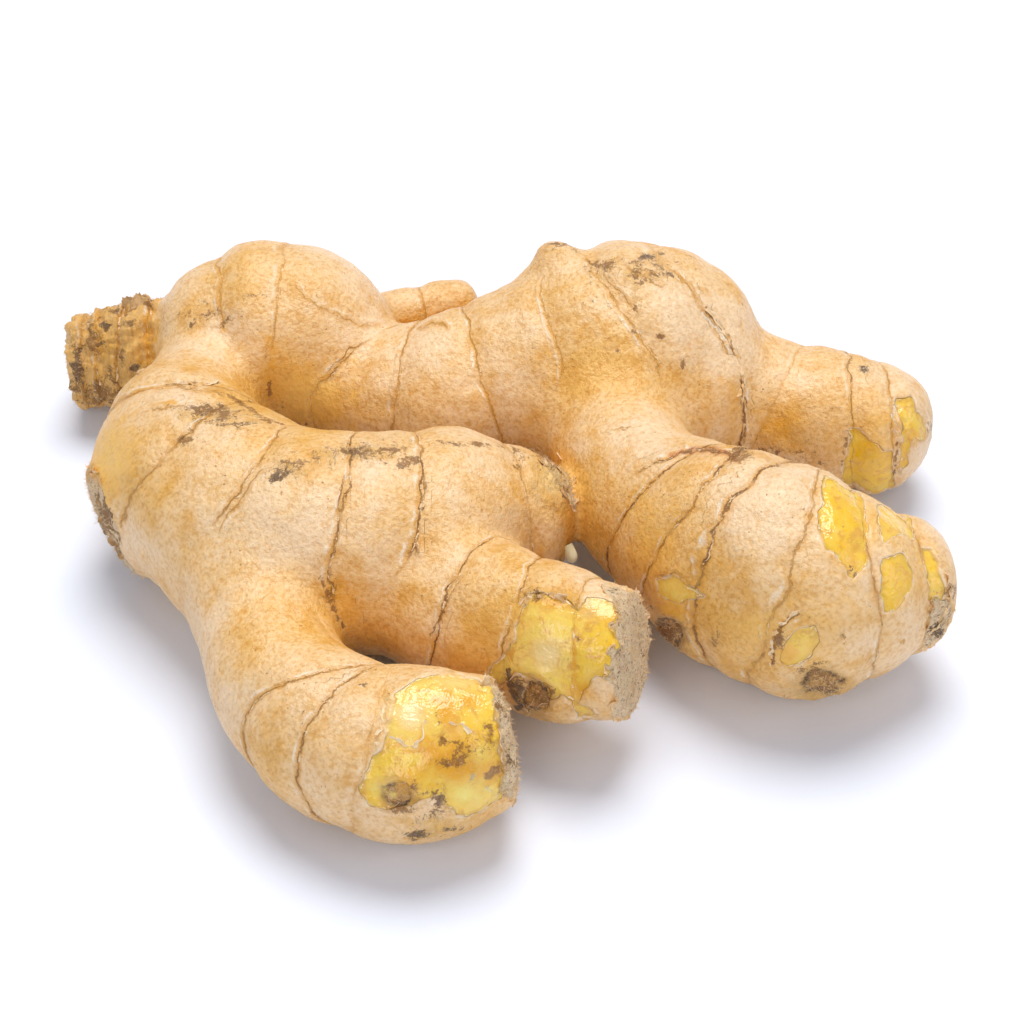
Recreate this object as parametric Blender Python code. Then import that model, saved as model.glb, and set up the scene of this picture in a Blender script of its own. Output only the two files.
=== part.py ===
"""A hand of ginger: one rhizome of thick, ringed lobes and stubby fingers, grown as a single solid.

The rhizome lies on a surface at z = 0. +X runs along its length, +Y towards its far side, and the origin
is under the middle of its box. Each lobe is a smooth spine with an oval section that changes along it.
The lobes melt into one another where they meet. Growth rings and bud scars are pressed into the skin by
formula, and the broken and cut ends are blunt.
"""

import math

import bmesh
import bpy
import numpy as np

MM = 0.001

# How finely the spines are sampled, and how widely a point near a bend looks along them.
SPINE_STEP = 2.0 * MM
SPINE_BLUR = 3.0 * MM

# How finely the solid is meshed. The beads of the rough form have this share of the lobe's thickness.
BEAD_SHARE = 0.9
ROUGH_VOXEL = 2.0 * MM
SKIN_VOXEL = 1.2 * MM
TRIANGLES = 10800

# A lobe counts as this far away wherever it is farther, which saves measuring it.
REACH = 8.0 * MM

# At a growth ring the skin is drawn in this deep, fading this far to either side.
RING_DEPTH = 0.9 * MM
RING_FADE = 2.4 * MM

# A bud scar is a round hollow with a raised rim, at this many times its radius and this high for its depth.
SCAR_RIM_AT = 1.2
SCAR_RIM_HEIGHT = 0.5

# Points are moved to the skin along its slope, which is measured over the probe, a stride at most at a time.
PROBE = 0.2 * MM
STRIDE = 3.0 * MM
LEAST_SLOPE = 0.3

# The root stands on the lowest points of its lobes, which are pressed flat by this much.
FOOT_PRESS = 0.5 * MM

# The lobes, all lengths in millimetres and all angles in degrees.
# stations: x, y and z of the spine, then the lobe's half-width and half-height there.
# ends: how far the lobe goes on before its first station and after its last.
# blunt: the power of the curve that closes each end, 2 for a round end and more for a flat, broken one.
# rings: place along the spine, lean forward with height, and turn with the way to the side.
# scars: place along the spine, angle round it from the top, radius and depth.
# melt: how widely the lobe blends into those named before it.
LOBES = {
    "main_rhizome": {
        "stations": [
            (-63, 50, 20, 17, 18),
            (-54, 50, 21.5, 21, 22),
            (-44, 48, 21, 20, 21),
            (-31, 39, 16.5, 15, 15),
            (-15, 34, 18, 18, 18),
            (0, 36, 20, 20, 20),
            (14, 38, 23, 23, 23),
            (27, 40, 24.6, 25, 25),
            (39, 41, 22, 20, 21),
        ],
        "ends": (13, 12),
        "rings": [
            (4, 1, 3),
            (18, -12, 5),
            (41.5, -14, -32),
            (47.5, 3, -2),
            (62.5, -4, 0),
            (79.5, -1, -1),
            (96, -16, 8),
            (115, -35, 14),
        ],
        "melt": 1,
    },
    "old_stub": {
        "stations": [
            (-94, 55, 12.5, 10, 10.5),
            (-84, 55, 13, 12, 13),
            (-76, 54, 14.5, 12, 13.5),
            (-64, 52, 16, 13, 13),
        ],
        "ends": (3, 5),
        "blunt": (5, 2),
        "rings": [(1, 0, 0), (4.5, 0, 0), (10, 3, 0), (16, 8, 10)],
        "melt": 3,
    },
    "right_rear_finger": {
        "stations": [
            (42, 38, 18, 15, 16),
            (56, 33, 15.5, 14.5, 15),
            (70, 30, 15.5, 15, 15),
            (79, 26, 14.5, 13, 13.5),
        ],
        "ends": (5, 9),
        "rings": [(15.5, 9, -9), (32.5, -12, 15), (38.5, -9, 30)],
        "melt": 4,
    },
    "right_front_finger": {
        "stations": [
            (21, 28, 22, 16, 16),
            (22, 12, 21, 14.5, 15.5),
            (27.5, -4, 21, 15.5, 17),
            (38, -17, 22, 18.5, 21.5),
            (47, -26, 23, 20.5, 23.5),
            (58, -30.5, 22, 22, 22.5),
            (68, -29.5, 20.5, 18.5, 18.5),
            (77, -27, 19, 13.5, 14),
        ],
        "ends": (5, 9),
        "rings": [(42, 14, -8), (48, 21, 11), (63, -2, -3), (69.5, 4, 3), (82.5, -8, 0), (92, -2, 2)],
        "scars": [(76, 123, 3.6, 0.7), (56, 111, 4, 0.6)],
        "melt": 6,
    },
    "main_shoulder": {
        "stations": [(30, 36, 21, 17, 18), (41, 29, 18, 15, 17)],
        "ends": (6, 9),
        "melt": 5,
    },
    "front_neck": {
        "stations": [
            (-61, 42, 18, 14, 15),
            (-66, 28, 18, 14, 16),
            (-68, 13, 20, 18, 19),
            (-62, 0, 21, 20.5, 21),
            (-53, -10, 21, 21, 21),
        ],
        "ends": (5, 10),
        "rings": [(33, 2, -19), (39.5, 22, 14)],
        "melt": 3,
    },
    "broken_end": {
        "stations": [(-66, 3, 18, 16, 16), (-73, 1, 16.5, 14, 14), (-80, -2.5, 15, 11, 12)],
        "ends": (4, 3),
        "blunt": (2, 4),
        "melt": 4,
    },
    "front_body": {
        "stations": [
            (-54, -9, 21, 20, 20),
            (-42, -16, 22, 21.5, 22),
            (-27, -18, 22, 22, 22),
            (-12, -12, 21, 20.5, 20.5),
            (-1, -9, 18.5, 16.5, 17),
            (7, -9.5, 17, 11.5, 14),
        ],
        "ends": (8, 5),
        "rings": [(-0.5, 25, 8), (23, 4, 0), (36, 5, -17), (61, -20, 14)],
        "melt": 4,
    },
    "front_finger": {
        "stations": [
            (-52, -18, 19, 17, 17),
            (-48, -36, 17, 13.5, 14.5),
            (-44, -51, 16, 13.5, 14),
            (-36, -63, 16, 15, 15.5),
            (-24, -70.5, 16, 16.5, 16.5),
            (-12, -71.5, 17.5, 15, 16.5),
            (-4.5, -70, 18, 11, 14),
        ],
        "ends": (5, 4.5),
        "blunt": (2, 3.5),
        "rings": [(52, -5, -31), (59, -12, -12), (62, 9, 4)],
        "scars": [(68, 71, 3, 0.8)],
        "melt": 5,
    },
    "second_finger": {
        "stations": [
            (-22, -20, 18, 15, 15),
            (-9, -34, 18.5, 15.5, 16),
            (4, -43.5, 21, 13.5, 16.5),
            (13, -49, 22.5, 13.5, 15.5),
            (20, -51.5, 23.5, 11.5, 13),
        ],
        "ends": (5, 4),
        "blunt": (2, 4),
        "rings": [(20.5, 10, 9), (33.5, 12, 14), (48, 0, 3)],
        "scars": [(43, 93, 3.8, 1.5)],
        "melt": 4,
    },
    "rear_bud": {
        "stations": [
            (-37, 50, 19, 8, 8),
            (-31, 58, 20, 6, 6),
            (-20, 62, 20.5, 6, 6),
            (-10, 64, 21, 6, 6),
        ],
        "ends": (4, 3),
        "rings": [(12, 0, 0), (22, 0, 0)],
        "melt": 4,
    },
    "crown_bud": {
        "stations": [(7.5, 44, 38, 6.5, 6), (11, 48, 45, 5.5, 5)],
        "ends": (3, 3),
        "melt": 4,
    },
}


def clear_scene():
    for thing in list(bpy.data.objects):
        bpy.data.objects.remove(thing, do_unlink=True)


def smooth_curve(stations, step):
    """Points every `step` along a Catmull-Rom curve through the stations, in metres, with sizes to match."""
    knots = np.array(stations, float) * MM
    padded = np.vstack([2 * knots[0] - knots[1], knots, 2 * knots[-1] - knots[-2]])
    fine = []
    for before, start, end, after in zip(padded, padded[1:], padded[2:], padded[3:]):
        count = max(2, int(np.linalg.norm((end - start)[:3]) / step) + 1)
        t = np.linspace(0, 1, count, endpoint=False)[:, None]
        fine.append(
            0.5
            * (
                2 * start
                + (end - before) * t
                + (2 * before - 5 * start + 4 * end - after) * t**2
                + (3 * start - before - 3 * end + after) * t**3
            )
        )
    return np.vstack([*fine, knots[-1:]])


def unit(vectors):
    return vectors / np.linalg.norm(vectors, axis=-1, keepdims=True)


class Lobe:
    """One lobe: its spine, the directions across it, and its half-width and half-height along the way."""

    def __init__(self, spec):
        samples = smooth_curve(spec["stations"], SPINE_STEP)
        self.centre = samples[:, :3]
        self.half_width = samples[:, 3]
        self.half_height = samples[:, 4]
        self.along = unit(np.gradient(self.centre, axis=0))
        self.side = unit(np.cross(self.along, (0, 0, 1)))
        self.up = np.cross(self.side, self.along)
        steps = np.linalg.norm(np.diff(self.centre, axis=0), axis=1)
        self.arc = np.concatenate([[0], np.cumsum(steps)])
        self.bend = np.gradient(self.along, self.arc, axis=0)
        self.ends = [length * MM for length in spec["ends"]]
        self.blunt = spec.get("blunt", (2, 2))
        self.rings = [
            (place * MM, math.radians(lean), math.radians(turn))
            for place, lean, turn in spec.get("rings", ())
        ]
        self.scars = [
            (place * MM, math.radians(around), radius * MM, depth * MM)
            for place, around, radius, depth in spec.get("scars", ())
        ]
        self.melt = spec["melt"] * MM
        girth = max(self.half_width.max(), self.half_height.max()) + max(self.ends)
        self.low = self.centre.min(axis=0) - girth - REACH
        self.high = self.centre.max(axis=0) + girth + REACH

    def local(self, points):
        """Where the points are in the lobe: along the spine, past its ends, sideways and upwards.

        The lobe's half sizes there follow, then the room: 1 beside a straight spine and less inside a bend.
        Every spine sample counts by its nearness, so all of this changes smoothly round a bend.
        """
        square = (points**2).sum(axis=1)[:, None] - 2 * points @ self.centre.T + (self.centre**2).sum(axis=1)
        near = np.exp((square.min(axis=1, keepdims=True) - square) / SPINE_BLUR**2)
        near /= near.sum(axis=1, keepdims=True)
        centre, along, side, up = (near @ rows for rows in (self.centre, self.along, self.side, self.up))
        offset = points - centre
        past = (offset * unit(along)).sum(axis=1)
        sideways = (offset * unit(side)).sum(axis=1)
        upwards = (offset * unit(up)).sum(axis=1)
        room = np.clip(1 - (offset * (near @ self.bend)).sum(axis=1), 0, 1)
        return near @ self.arc, past, sideways, upwards, near @ self.half_width, near @ self.half_height, room

    def distance(self, points):
        """About how far outside the lobe's skin the points are, or REACH where they are not near it."""
        near = np.all((points > self.low) & (points < self.high), axis=1)
        result = np.full(len(points), REACH)
        result[near] = self.close_distance(points[near])
        return result

    def close_distance(self, points):
        place, past, sideways, upwards, half_width, half_height, room = self.local(points)
        cap = np.where(past < 0, self.ends[0], self.ends[1])
        power = np.where(past < 0, self.blunt[0], self.blunt[1])
        across = np.hypot(sideways / half_width, upwards / half_height)
        reach = (np.abs(past / cap) ** power + across**power) ** (1 / power)
        span = np.sqrt(past**2 + sideways**2 + upwards**2)
        skin = span * (1 - 1 / np.maximum(reach, 1e-6))
        return skin - room**2 * self.relief(place + past, sideways, upwards)

    def relief(self, place, sideways, upwards):
        """How far the rings and scars raise the skin."""
        height = np.zeros_like(place)
        for ring, lean, turn in self.rings:
            off = place - ring - upwards * math.tan(lean) - sideways * math.tan(turn)
            height -= RING_DEPTH * np.exp(-((off / RING_FADE) ** 2))
        for spot, around, radius, depth in self.scars:
            turned = np.arctan2(sideways, upwards) - around
            turned = np.arctan2(np.sin(turned), np.cos(turned))
            off = np.hypot(place - spot, turned * np.hypot(sideways, upwards)) / radius
            rim = SCAR_RIM_HEIGHT * np.exp(-((off - SCAR_RIM_AT) ** 2) / 0.15)
            height += depth * (rim - np.exp(-(off**2) / 0.6))
        return height


def melted(first, second, width):
    """The union of two distances, with a fillet about `width` wide where they meet."""
    mix = np.clip(0.5 + 0.5 * (second - first) / width, 0, 1)
    return second * (1 - mix) + first * mix - width * mix * (1 - mix)


def skin_distance(points, lobes):
    total = lobes[0].distance(points)
    for lobe in lobes[1:]:
        total = melted(total, lobe.distance(points), lobe.melt)
    return total


def pull_to_skin(points, lobes, rounds=3):
    """Moves points along the distance's slope until they lie on the skin."""
    for _ in range(rounds):
        here = skin_distance(points, lobes)
        slope = np.stack(
            [(skin_distance(points + PROBE * axis, lobes) - here) / PROBE for axis in np.eye(3)],
            axis=1,
        )
        steepness = np.maximum((slope**2).sum(axis=1), LEAST_SLOPE)
        step = np.clip(here / steepness, -STRIDE, STRIDE)
        points = points - slope * step[:, None]
    return points


def rough_form(lobes):
    """One mesh of overlapping beads strung along every spine, none of them past its lobe's ends."""
    form = bmesh.new()
    for lobe in lobes:
        for k in range(0, len(lobe.centre), 2):
            thickness = min(lobe.half_width[k], lobe.half_height[k])
            before = lobe.arc[k] + lobe.ends[0]
            after = lobe.arc[-1] - lobe.arc[k] + lobe.ends[1]
            size = min(BEAD_SHARE * thickness, before, after)
            bead = bmesh.ops.create_icosphere(form, subdivisions=3, radius=size)
            bmesh.ops.translate(form, verts=bead["verts"], vec=lobe.centre[k])
    mesh = bpy.data.meshes.new("rough_form")
    form.to_mesh(mesh)
    form.free()
    return mesh


def evaluated(mesh, **modifiers):
    """A new mesh: the given one after the named modifiers, each a dictionary of its settings."""
    thing = bpy.data.objects.new("working", mesh)
    bpy.context.scene.collection.objects.link(thing)
    for kind, settings in modifiers.items():
        modifier = thing.modifiers.new(kind, kind)
        for key, value in settings.items():
            setattr(modifier, key, value)
    graph = bpy.context.evaluated_depsgraph_get()
    result = bpy.data.meshes.new_from_object(thing.evaluated_get(graph))
    bpy.data.objects.remove(thing, do_unlink=True)
    return result


def move_vertices(mesh, mover):
    flat = np.empty(len(mesh.vertices) * 3, np.float32)
    mesh.vertices.foreach_get("co", flat)
    moved = mover(flat.reshape(-1, 3).astype(float))
    mesh.vertices.foreach_set("co", moved.astype(np.float32).ravel())
    mesh.update()


def set_on_feet(mesh):
    """Cuts the lowest points off flat at z = 0, and puts the origin under the middle of the box."""
    body = bmesh.new()
    body.from_mesh(mesh)
    lowest = min(vertex.co.z for vertex in body.verts)
    floor = lowest + FOOT_PRESS
    bmesh.ops.bisect_plane(
        body,
        geom=[*body.verts, *body.edges, *body.faces],
        plane_co=(0, 0, floor),
        plane_no=(0, 0, 1),
        clear_inner=True,
    )
    open_edges = [edge for edge in body.edges if edge.is_boundary]
    bmesh.ops.holes_fill(body, edges=open_edges, sides=0)
    bmesh.ops.triangulate(body, faces=body.faces[:])
    bmesh.ops.recalc_face_normals(body, faces=body.faces[:])
    corners = np.array([vertex.co for vertex in body.verts])
    middle = (corners.min(axis=0) + corners.max(axis=0)) / 2
    bmesh.ops.translate(body, verts=body.verts[:], vec=(-middle[0], -middle[1], -floor))
    body.to_mesh(mesh)
    body.free()


def ginger_skin():
    material = bpy.data.materials.new("ginger_skin")
    material.use_nodes = True
    shader = material.node_tree.nodes["Principled BSDF"]
    shader.inputs["Base Color"].default_value = (0.66, 0.43, 0.20, 1)
    shader.inputs["Roughness"].default_value = 0.62
    shader.inputs["Metallic"].default_value = 0
    return material


def make_ginger():
    lobes = [Lobe(spec) for spec in LOBES.values()]
    mesh = evaluated(rough_form(lobes), REMESH={"mode": "VOXEL", "voxel_size": ROUGH_VOXEL})
    move_vertices(mesh, lambda points: pull_to_skin(points, lobes))
    mesh = evaluated(mesh, REMESH={"mode": "VOXEL", "voxel_size": SKIN_VOXEL})
    move_vertices(mesh, lambda points: pull_to_skin(points, lobes))
    mesh = evaluated(mesh, TRIANGULATE={})
    mesh = evaluated(mesh, DECIMATE={"ratio": TRIANGLES / len(mesh.polygons)})
    set_on_feet(mesh)
    mesh.name = "ginger_root"
    mesh.shade_smooth()
    mesh.materials.append(ginger_skin())
    bpy.context.scene.collection.objects.link(bpy.data.objects.new("ginger_root", mesh))


clear_scene()
make_ginger()
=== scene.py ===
import math

import bmesh
import bpy
import numpy as np
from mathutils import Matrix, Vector
from mathutils.bvhtree import BVHTree


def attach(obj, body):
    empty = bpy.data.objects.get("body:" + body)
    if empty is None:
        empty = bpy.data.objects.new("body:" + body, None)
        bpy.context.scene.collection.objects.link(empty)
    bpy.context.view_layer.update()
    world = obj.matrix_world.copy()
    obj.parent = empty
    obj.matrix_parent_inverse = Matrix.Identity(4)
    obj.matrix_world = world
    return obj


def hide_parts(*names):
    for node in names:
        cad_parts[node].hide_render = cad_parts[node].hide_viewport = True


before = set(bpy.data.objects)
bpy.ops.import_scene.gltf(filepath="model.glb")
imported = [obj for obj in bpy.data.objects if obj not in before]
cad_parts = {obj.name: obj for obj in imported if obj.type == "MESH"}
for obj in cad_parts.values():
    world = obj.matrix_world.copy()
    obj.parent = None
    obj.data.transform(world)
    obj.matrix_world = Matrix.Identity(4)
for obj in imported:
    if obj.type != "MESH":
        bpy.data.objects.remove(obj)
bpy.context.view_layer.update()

mm = 0.001

# the camera of the photograph, from which marks on the skin are placed

photoCamera = {
    "target": (3.88, 8.43, 15.01),  # mm, the point in the middle of the picture
    "elevation": 40,  # degrees above the horizon, looking along +Y
    "distance": 580,  # mm
    "lens": 100,
    "sensor": 36,
    "picture": 1024,  # pixels
}

slope = math.radians(photoCamera["elevation"])
lookForward = np.array([0, math.cos(slope), -math.sin(slope)])
lookUp = np.array([0, math.sin(slope), math.cos(slope)])
lookRight = np.array([1.0, 0, 0])
eye = (np.array(photoCamera["target"]) - lookForward * photoCamera["distance"]) * mm
focal = photoCamera["lens"] / photoCamera["sensor"] * photoCamera["picture"]
pixelsPerMm = focal / photoCamera["distance"]


def pixelsOf(points):
    away = points - eye
    scale = focal / (away @ lookForward)
    middle = photoCamera["picture"] / 2
    return np.stack([middle + scale * (away @ lookRight), middle - scale * (away @ lookUp)], axis=1)


def rayThrough(pixel):
    middle = photoCamera["picture"] / 2
    return lookForward + (pixel[0] - middle) / focal * lookRight + (middle - pixel[1]) / focal * lookUp


# the form: the same lobes as the solid has, so that the fine skin lies on it

# stations: x, y and z of the spine in mm, then half the width and half the height of the lobe there
# ends: how far it goes past its first and its last station; blunt: 2 for a round end, more if flatter
# rings: place along the spine, lean and turn in degrees, how dark the line is and how strong it shows, 0 to 1
# scars: place, degrees round the spine from the top, radius, depth; melt: how widely it blends into the rest
rootLobes = {
    "mainRhizome": {
        "stations": [
            (-63, 50, 20, 17, 18), (-54, 50, 21.5, 21, 22), (-44, 48, 21, 20, 21), (-31, 39, 16.5, 15, 15),
            (-15, 34, 18, 18, 18), (0, 36, 20, 20, 20), (14, 38, 23, 23, 23), (27, 40, 24.6, 25, 25),
            (39, 41, 22, 20, 21),
        ],
        "ends": (13, 12),
        "rings": [
            (4, 1, 3, 0.3, 0.7), (18, -12, 5, 0.4, 0.6), (41.5, -14, -32, 0.35, 1.0), (47.5, 3, -2, 0.5, 0.9),
            (62.5, -4, 0, 0.55, 0.9), (79.5, -1, -1, 0.3, 0.8), (96, -16, 8, 0.2, 1.0),
            (115, -35, 14, 0.15, 0.5),
        ],
        "melt": 1,
    },
    "oldStub": {
        "stations": [
            (-94, 55, 12.5, 10, 10.5), (-84, 55, 13, 12, 13), (-76, 54, 14.5, 12, 13.5),
            (-64, 52, 16, 13, 13),
        ],
        "ends": (3, 5),
        "blunt": (5, 2),
        "rings": [(1, 0, 0, 0.6, 0.6), (4.5, 0, 0, 0.6, 0.7), (10, 3, 0, 0.6, 0.9), (16, 8, 10, 0.4, 0.9)],
        "melt": 3,
    },
    "rightRearFinger": {
        "stations": [
            (42, 38, 18, 15, 16), (56, 33, 15.5, 14.5, 15), (70, 30, 15.5, 15, 15), (79, 26, 14.5, 13, 13.5),
        ],
        "ends": (5, 9),
        "rings": [(15.5, 9, -9, 0.2, 0.4), (32.5, -12, 15, 0.8, 0.8), (38.5, -9, 30, 0.5, 0.8)],
        "melt": 4,
    },
    "rightFrontFinger": {
        "stations": [
            (21, 28, 22, 16, 16), (22, 12, 21, 14.5, 15.5), (27.5, -4, 21, 15.5, 17),
            (38, -17, 22, 18.5, 21.5), (47, -26, 23, 20.5, 23.5), (58, -30.5, 22, 22, 22.5),
            (68, -29.5, 20.5, 18.5, 18.5), (77, -27, 19, 13.5, 14),
        ],
        "ends": (5, 9),
        "rings": [
            (42, 14, -8, 0.9, 1.0), (48, 21, 11, 0.9, 1.0), (63, -2, -3, 0.9, 1.0), (69.5, 4, 3, 0.6, 0.8),
            (82.5, -8, 0, 0.7, 0.8), (92, -2, 2, 0.6, 0.7),
        ],
        "scars": [(76, 123, 3.6, 0.7), (56, 111, 4, 0.6)],
        "melt": 6,
    },
    "mainShoulder": {"stations": [(30, 36, 21, 17, 18), (41, 29, 18, 15, 17)], "ends": (6, 9), "melt": 5},
    "frontNeck": {
        "stations": [
            (-61, 42, 18, 14, 15), (-66, 28, 18, 14, 16), (-68, 13, 20, 18, 19), (-62, 0, 21, 20.5, 21),
            (-53, -10, 21, 21, 21),
        ],
        "ends": (5, 10),
        "rings": [(33, 2, -19, 0.6, 0.9), (39.5, 22, 14, 0.6, 0.9)],
        "melt": 3,
    },
    "brokenEnd": {
        "stations": [(-66, 3, 18, 16, 16), (-73, 1, 16.5, 14, 14), (-80, -2.5, 15, 11, 12)],
        "ends": (4, 3),
        "blunt": (2, 4),
        "melt": 4,
        "cut": ("last", 1.6),
    },
    "frontBody": {
        "stations": [
            (-54, -9, 21, 20, 20), (-42, -16, 22, 21.5, 22), (-27, -18, 22, 22, 22),
            (-12, -12, 21, 20.5, 20.5), (-1, -9, 18.5, 16.5, 17), (7, -9.5, 17, 11.5, 14),
        ],
        "ends": (8, 5),
        "rings": [
            (-0.5, 25, 8, 0.7, 0.8), (23, 4, 0, 0.9, 0.9), (36, 5, -17, 0.9, 1.0), (61, -20, 14, 0.3, 0.6),
        ],
        "melt": 4,
    },
    "frontFinger": {
        "stations": [
            (-52, -18, 19, 17, 17), (-48, -36, 17, 13.5, 14.5), (-44, -51, 16, 13.5, 14),
            (-36, -63, 16, 15, 15.5), (-24, -70.5, 16, 16.5, 16.5), (-12, -71.5, 17.5, 15, 16.5),
            (-4.5, -70, 18, 11, 14),
        ],
        "ends": (5, 4.5),
        "blunt": (2, 3.5),
        "rings": [(52, -5, -31, 0.7, 0.9), (59, -12, -12, 0.8, 0.9), (62, 9, 4, 0.6, 0.4)],
        "scars": [(68, 71, 3, 0.8)],
        "melt": 5,
        "cut": ("last", 3.4),
    },
    "secondFinger": {
        "stations": [
            (-22, -20, 18, 15, 15), (-9, -34, 18.5, 15.5, 16), (4, -43.5, 21, 13.5, 16.5),
            (13, -49, 22.5, 13.5, 15.5), (20, -51.5, 23.5, 11.5, 13),
        ],
        "ends": (5, 4),
        "blunt": (2, 4),
        "rings": [(20.5, 10, 9, 0.9, 1.0), (33.5, 12, 14, 0.8, 0.8), (48, 0, 3, 0.4, 0.6)],
        "scars": [(43, 93, 3.8, 1.5)],
        "melt": 4,
        "cut": ("last", 2.6),
    },
    "rearBud": {
        "stations": [(-37, 50, 19, 8, 8), (-31, 58, 20, 6, 6), (-20, 62, 20.5, 6, 6), (-10, 64, 21, 6, 6)],
        "ends": (4, 3),
        "rings": [(12, 0, 0, 0.3, 0.7), (22, 0, 0, 0.3, 0.7)],
        "melt": 4,
    },
    "crownBud": {"stations": [(7.5, 44, 38, 6.5, 6), (11, 48, 45, 5.5, 5)], "ends": (3, 3), "melt": 4},
}

form = {
    "origin": (3.882, 8.430, 0.010),  # mm, what the solid's own origin adds to the stations
    "spineStep": 2,  # mm
    "spineBlur": 3,  # mm, how widely a point near a bend looks along the spine
    "reach": 8,  # mm, a lobe counts as this far away wherever it is farther
    "ringDepth": 0.9,  # mm, the broad hollow at each ring
    "ringFade": 2.4,  # mm
    "ringWander": 0.55,  # mm, how far a ring's line strays from its plane
    "probe": 0.2,  # mm
    "stride": 3,  # mm
}


def unit(vectors):
    return vectors / np.linalg.norm(vectors, axis=-1, keepdims=True)


def smooth(low, high, value):
    t = np.clip((value - low) / (high - low), 0, 1)
    return t * t * (3 - 2 * t)


def bump(off, width):
    return np.exp(-((off / width) ** 2))


def wander(points, size, seed, waves=9):
    # a smooth random value from about -1 to 1 that changes over the given size
    dice = np.random.default_rng(seed)
    turns = unit(dice.normal(size=(waves, 3))) * 2 * math.pi / (size * mm)
    turns = turns * dice.uniform(0.6, 1.5, (waves, 1))
    phases = dice.uniform(0, 2 * math.pi, waves)
    return np.sin(points @ turns.T + phases).sum(axis=1) / math.sqrt(waves)


def smoothCurve(stations, step):
    knots = np.array(stations, float)
    knots[:, :3] += form["origin"]
    knots *= mm
    padded = np.vstack([2 * knots[0] - knots[1], knots, 2 * knots[-1] - knots[-2]])
    fine = []
    for before, start, end, after in zip(padded, padded[1:], padded[2:], padded[3:]):
        count = max(2, int(np.linalg.norm((end - start)[:3]) / step) + 1)
        t = np.linspace(0, 1, count, endpoint=False)[:, None]
        square = 2 * before - 5 * start + 4 * end - after
        cube = 3 * start - before - 3 * end + after
        fine.append(0.5 * (2 * start + (end - before) * t + square * t**2 + cube * t**3))
    return np.vstack([*fine, knots[-1:]])


class Lobe:
    def __init__(self, name, spec):
        samples = smoothCurve(spec["stations"], form["spineStep"] * mm)
        self.name = name
        self.centre = samples[:, :3]
        self.halfWidth = samples[:, 3]
        self.halfHeight = samples[:, 4]
        self.along = unit(np.gradient(self.centre, axis=0))
        self.side = unit(np.cross(self.along, (0, 0, 1)))
        self.up = np.cross(self.side, self.along)
        steps = np.linalg.norm(np.diff(self.centre, axis=0), axis=1)
        self.arc = np.concatenate([[0], np.cumsum(steps)])
        self.bend = np.gradient(self.along, self.arc, axis=0)
        self.ends = [length * mm for length in spec["ends"]]
        self.blunt = spec.get("blunt", (2, 2))
        self.rings = [
            (place * mm, math.tan(math.radians(lean)), math.tan(math.radians(turn)), dark, strength)
            for place, lean, turn, dark, strength in spec.get("rings", ())
        ]
        self.scars = [
            (place * mm, math.radians(around), radius * mm, depth * mm)
            for place, around, radius, depth in spec.get("scars", ())
        ]
        self.melt = spec["melt"] * mm
        self.cut = spec.get("cut")
        girth = max(self.halfWidth.max(), self.halfHeight.max()) + max(self.ends)
        self.low = self.centre.min(axis=0) - girth - form["reach"] * mm
        self.high = self.centre.max(axis=0) + girth + form["reach"] * mm

    # along the spine, past its ends, sideways, upwards, the half sizes there, and the room inside a bend
    def local(self, points):
        square = (points**2).sum(axis=1)[:, None] - 2 * points @ self.centre.T + (self.centre**2).sum(axis=1)
        near = np.exp((square.min(axis=1, keepdims=True) - square) / (form["spineBlur"] * mm) ** 2)
        near /= near.sum(axis=1, keepdims=True)
        centre, along, side, up = (near @ rows for rows in (self.centre, self.along, self.side, self.up))
        offset = points - centre
        past = (offset * unit(along)).sum(axis=1)
        sideways = (offset * unit(side)).sum(axis=1)
        upwards = (offset * unit(up)).sum(axis=1)
        room = np.clip(1 - (offset * (near @ self.bend)).sum(axis=1), 0, 1)
        return near @ self.arc, past, sideways, upwards, near @ self.halfWidth, near @ self.halfHeight, room

    def distance(self, points):
        near = np.all((points > self.low) & (points < self.high), axis=1)
        result = np.full(len(points), form["reach"] * mm)
        result[near] = self.closeDistance(points[near])
        return result

    def closeDistance(self, points):
        place, past, sideways, upwards, halfWidth, halfHeight, room = self.local(points)
        cap = np.where(past < 0, self.ends[0], self.ends[1])
        power = np.where(past < 0, self.blunt[0], self.blunt[1])
        across = np.hypot(sideways / halfWidth, upwards / halfHeight)
        reach = (np.abs(past / cap) ** power + across**power) ** (1 / power)
        span = np.sqrt(past**2 + sideways**2 + upwards**2)
        shell = span * (1 - 1 / np.maximum(reach, 1e-6))
        height = np.zeros(len(points))
        for off, _, _ in self.ringOffsets(points, place + past, sideways, upwards):
            height -= form["ringDepth"] * mm * bump(off, form["ringFade"] * mm)
        for off, depth in self.scarOffsets(place + past, sideways, upwards):
            rim = 0.5 * np.exp(-((off - 1.2) ** 2) / 0.15)
            height += depth * (rim - np.exp(-(off**2) / 0.6))
        return shell - room**2 * height

    def ringOffsets(self, points, place, sideways, upwards):
        stray = form["ringWander"] * mm * (0.7 * wander(points, 11, 5) + 0.3 * wander(points, 3.5, 6))
        return [
            (place - ring - upwards * lean - sideways * turn + stray, dark, strength)
            for ring, lean, turn, dark, strength in self.rings
        ]

    def scarOffsets(self, place, sideways, upwards):
        found = []
        for spot, around, radius, depth in self.scars:
            turned = np.arctan2(sideways, upwards) - around
            turned = np.arctan2(np.sin(turned), np.cos(turned))
            found.append((np.hypot(place - spot, turned * np.hypot(sideways, upwards)) / radius, depth))
        return found


lobes = [Lobe(name, spec) for name, spec in rootLobes.items()]


def skinDistance(points):
    total = lobes[0].distance(points)
    for lobe in lobes[1:]:
        other = lobe.distance(points)
        mix = np.clip(0.5 + 0.5 * (other - total) / lobe.melt, 0, 1)
        total = other * (1 - mix) + total * mix - lobe.melt * mix * (1 - mix)
    return total


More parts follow.
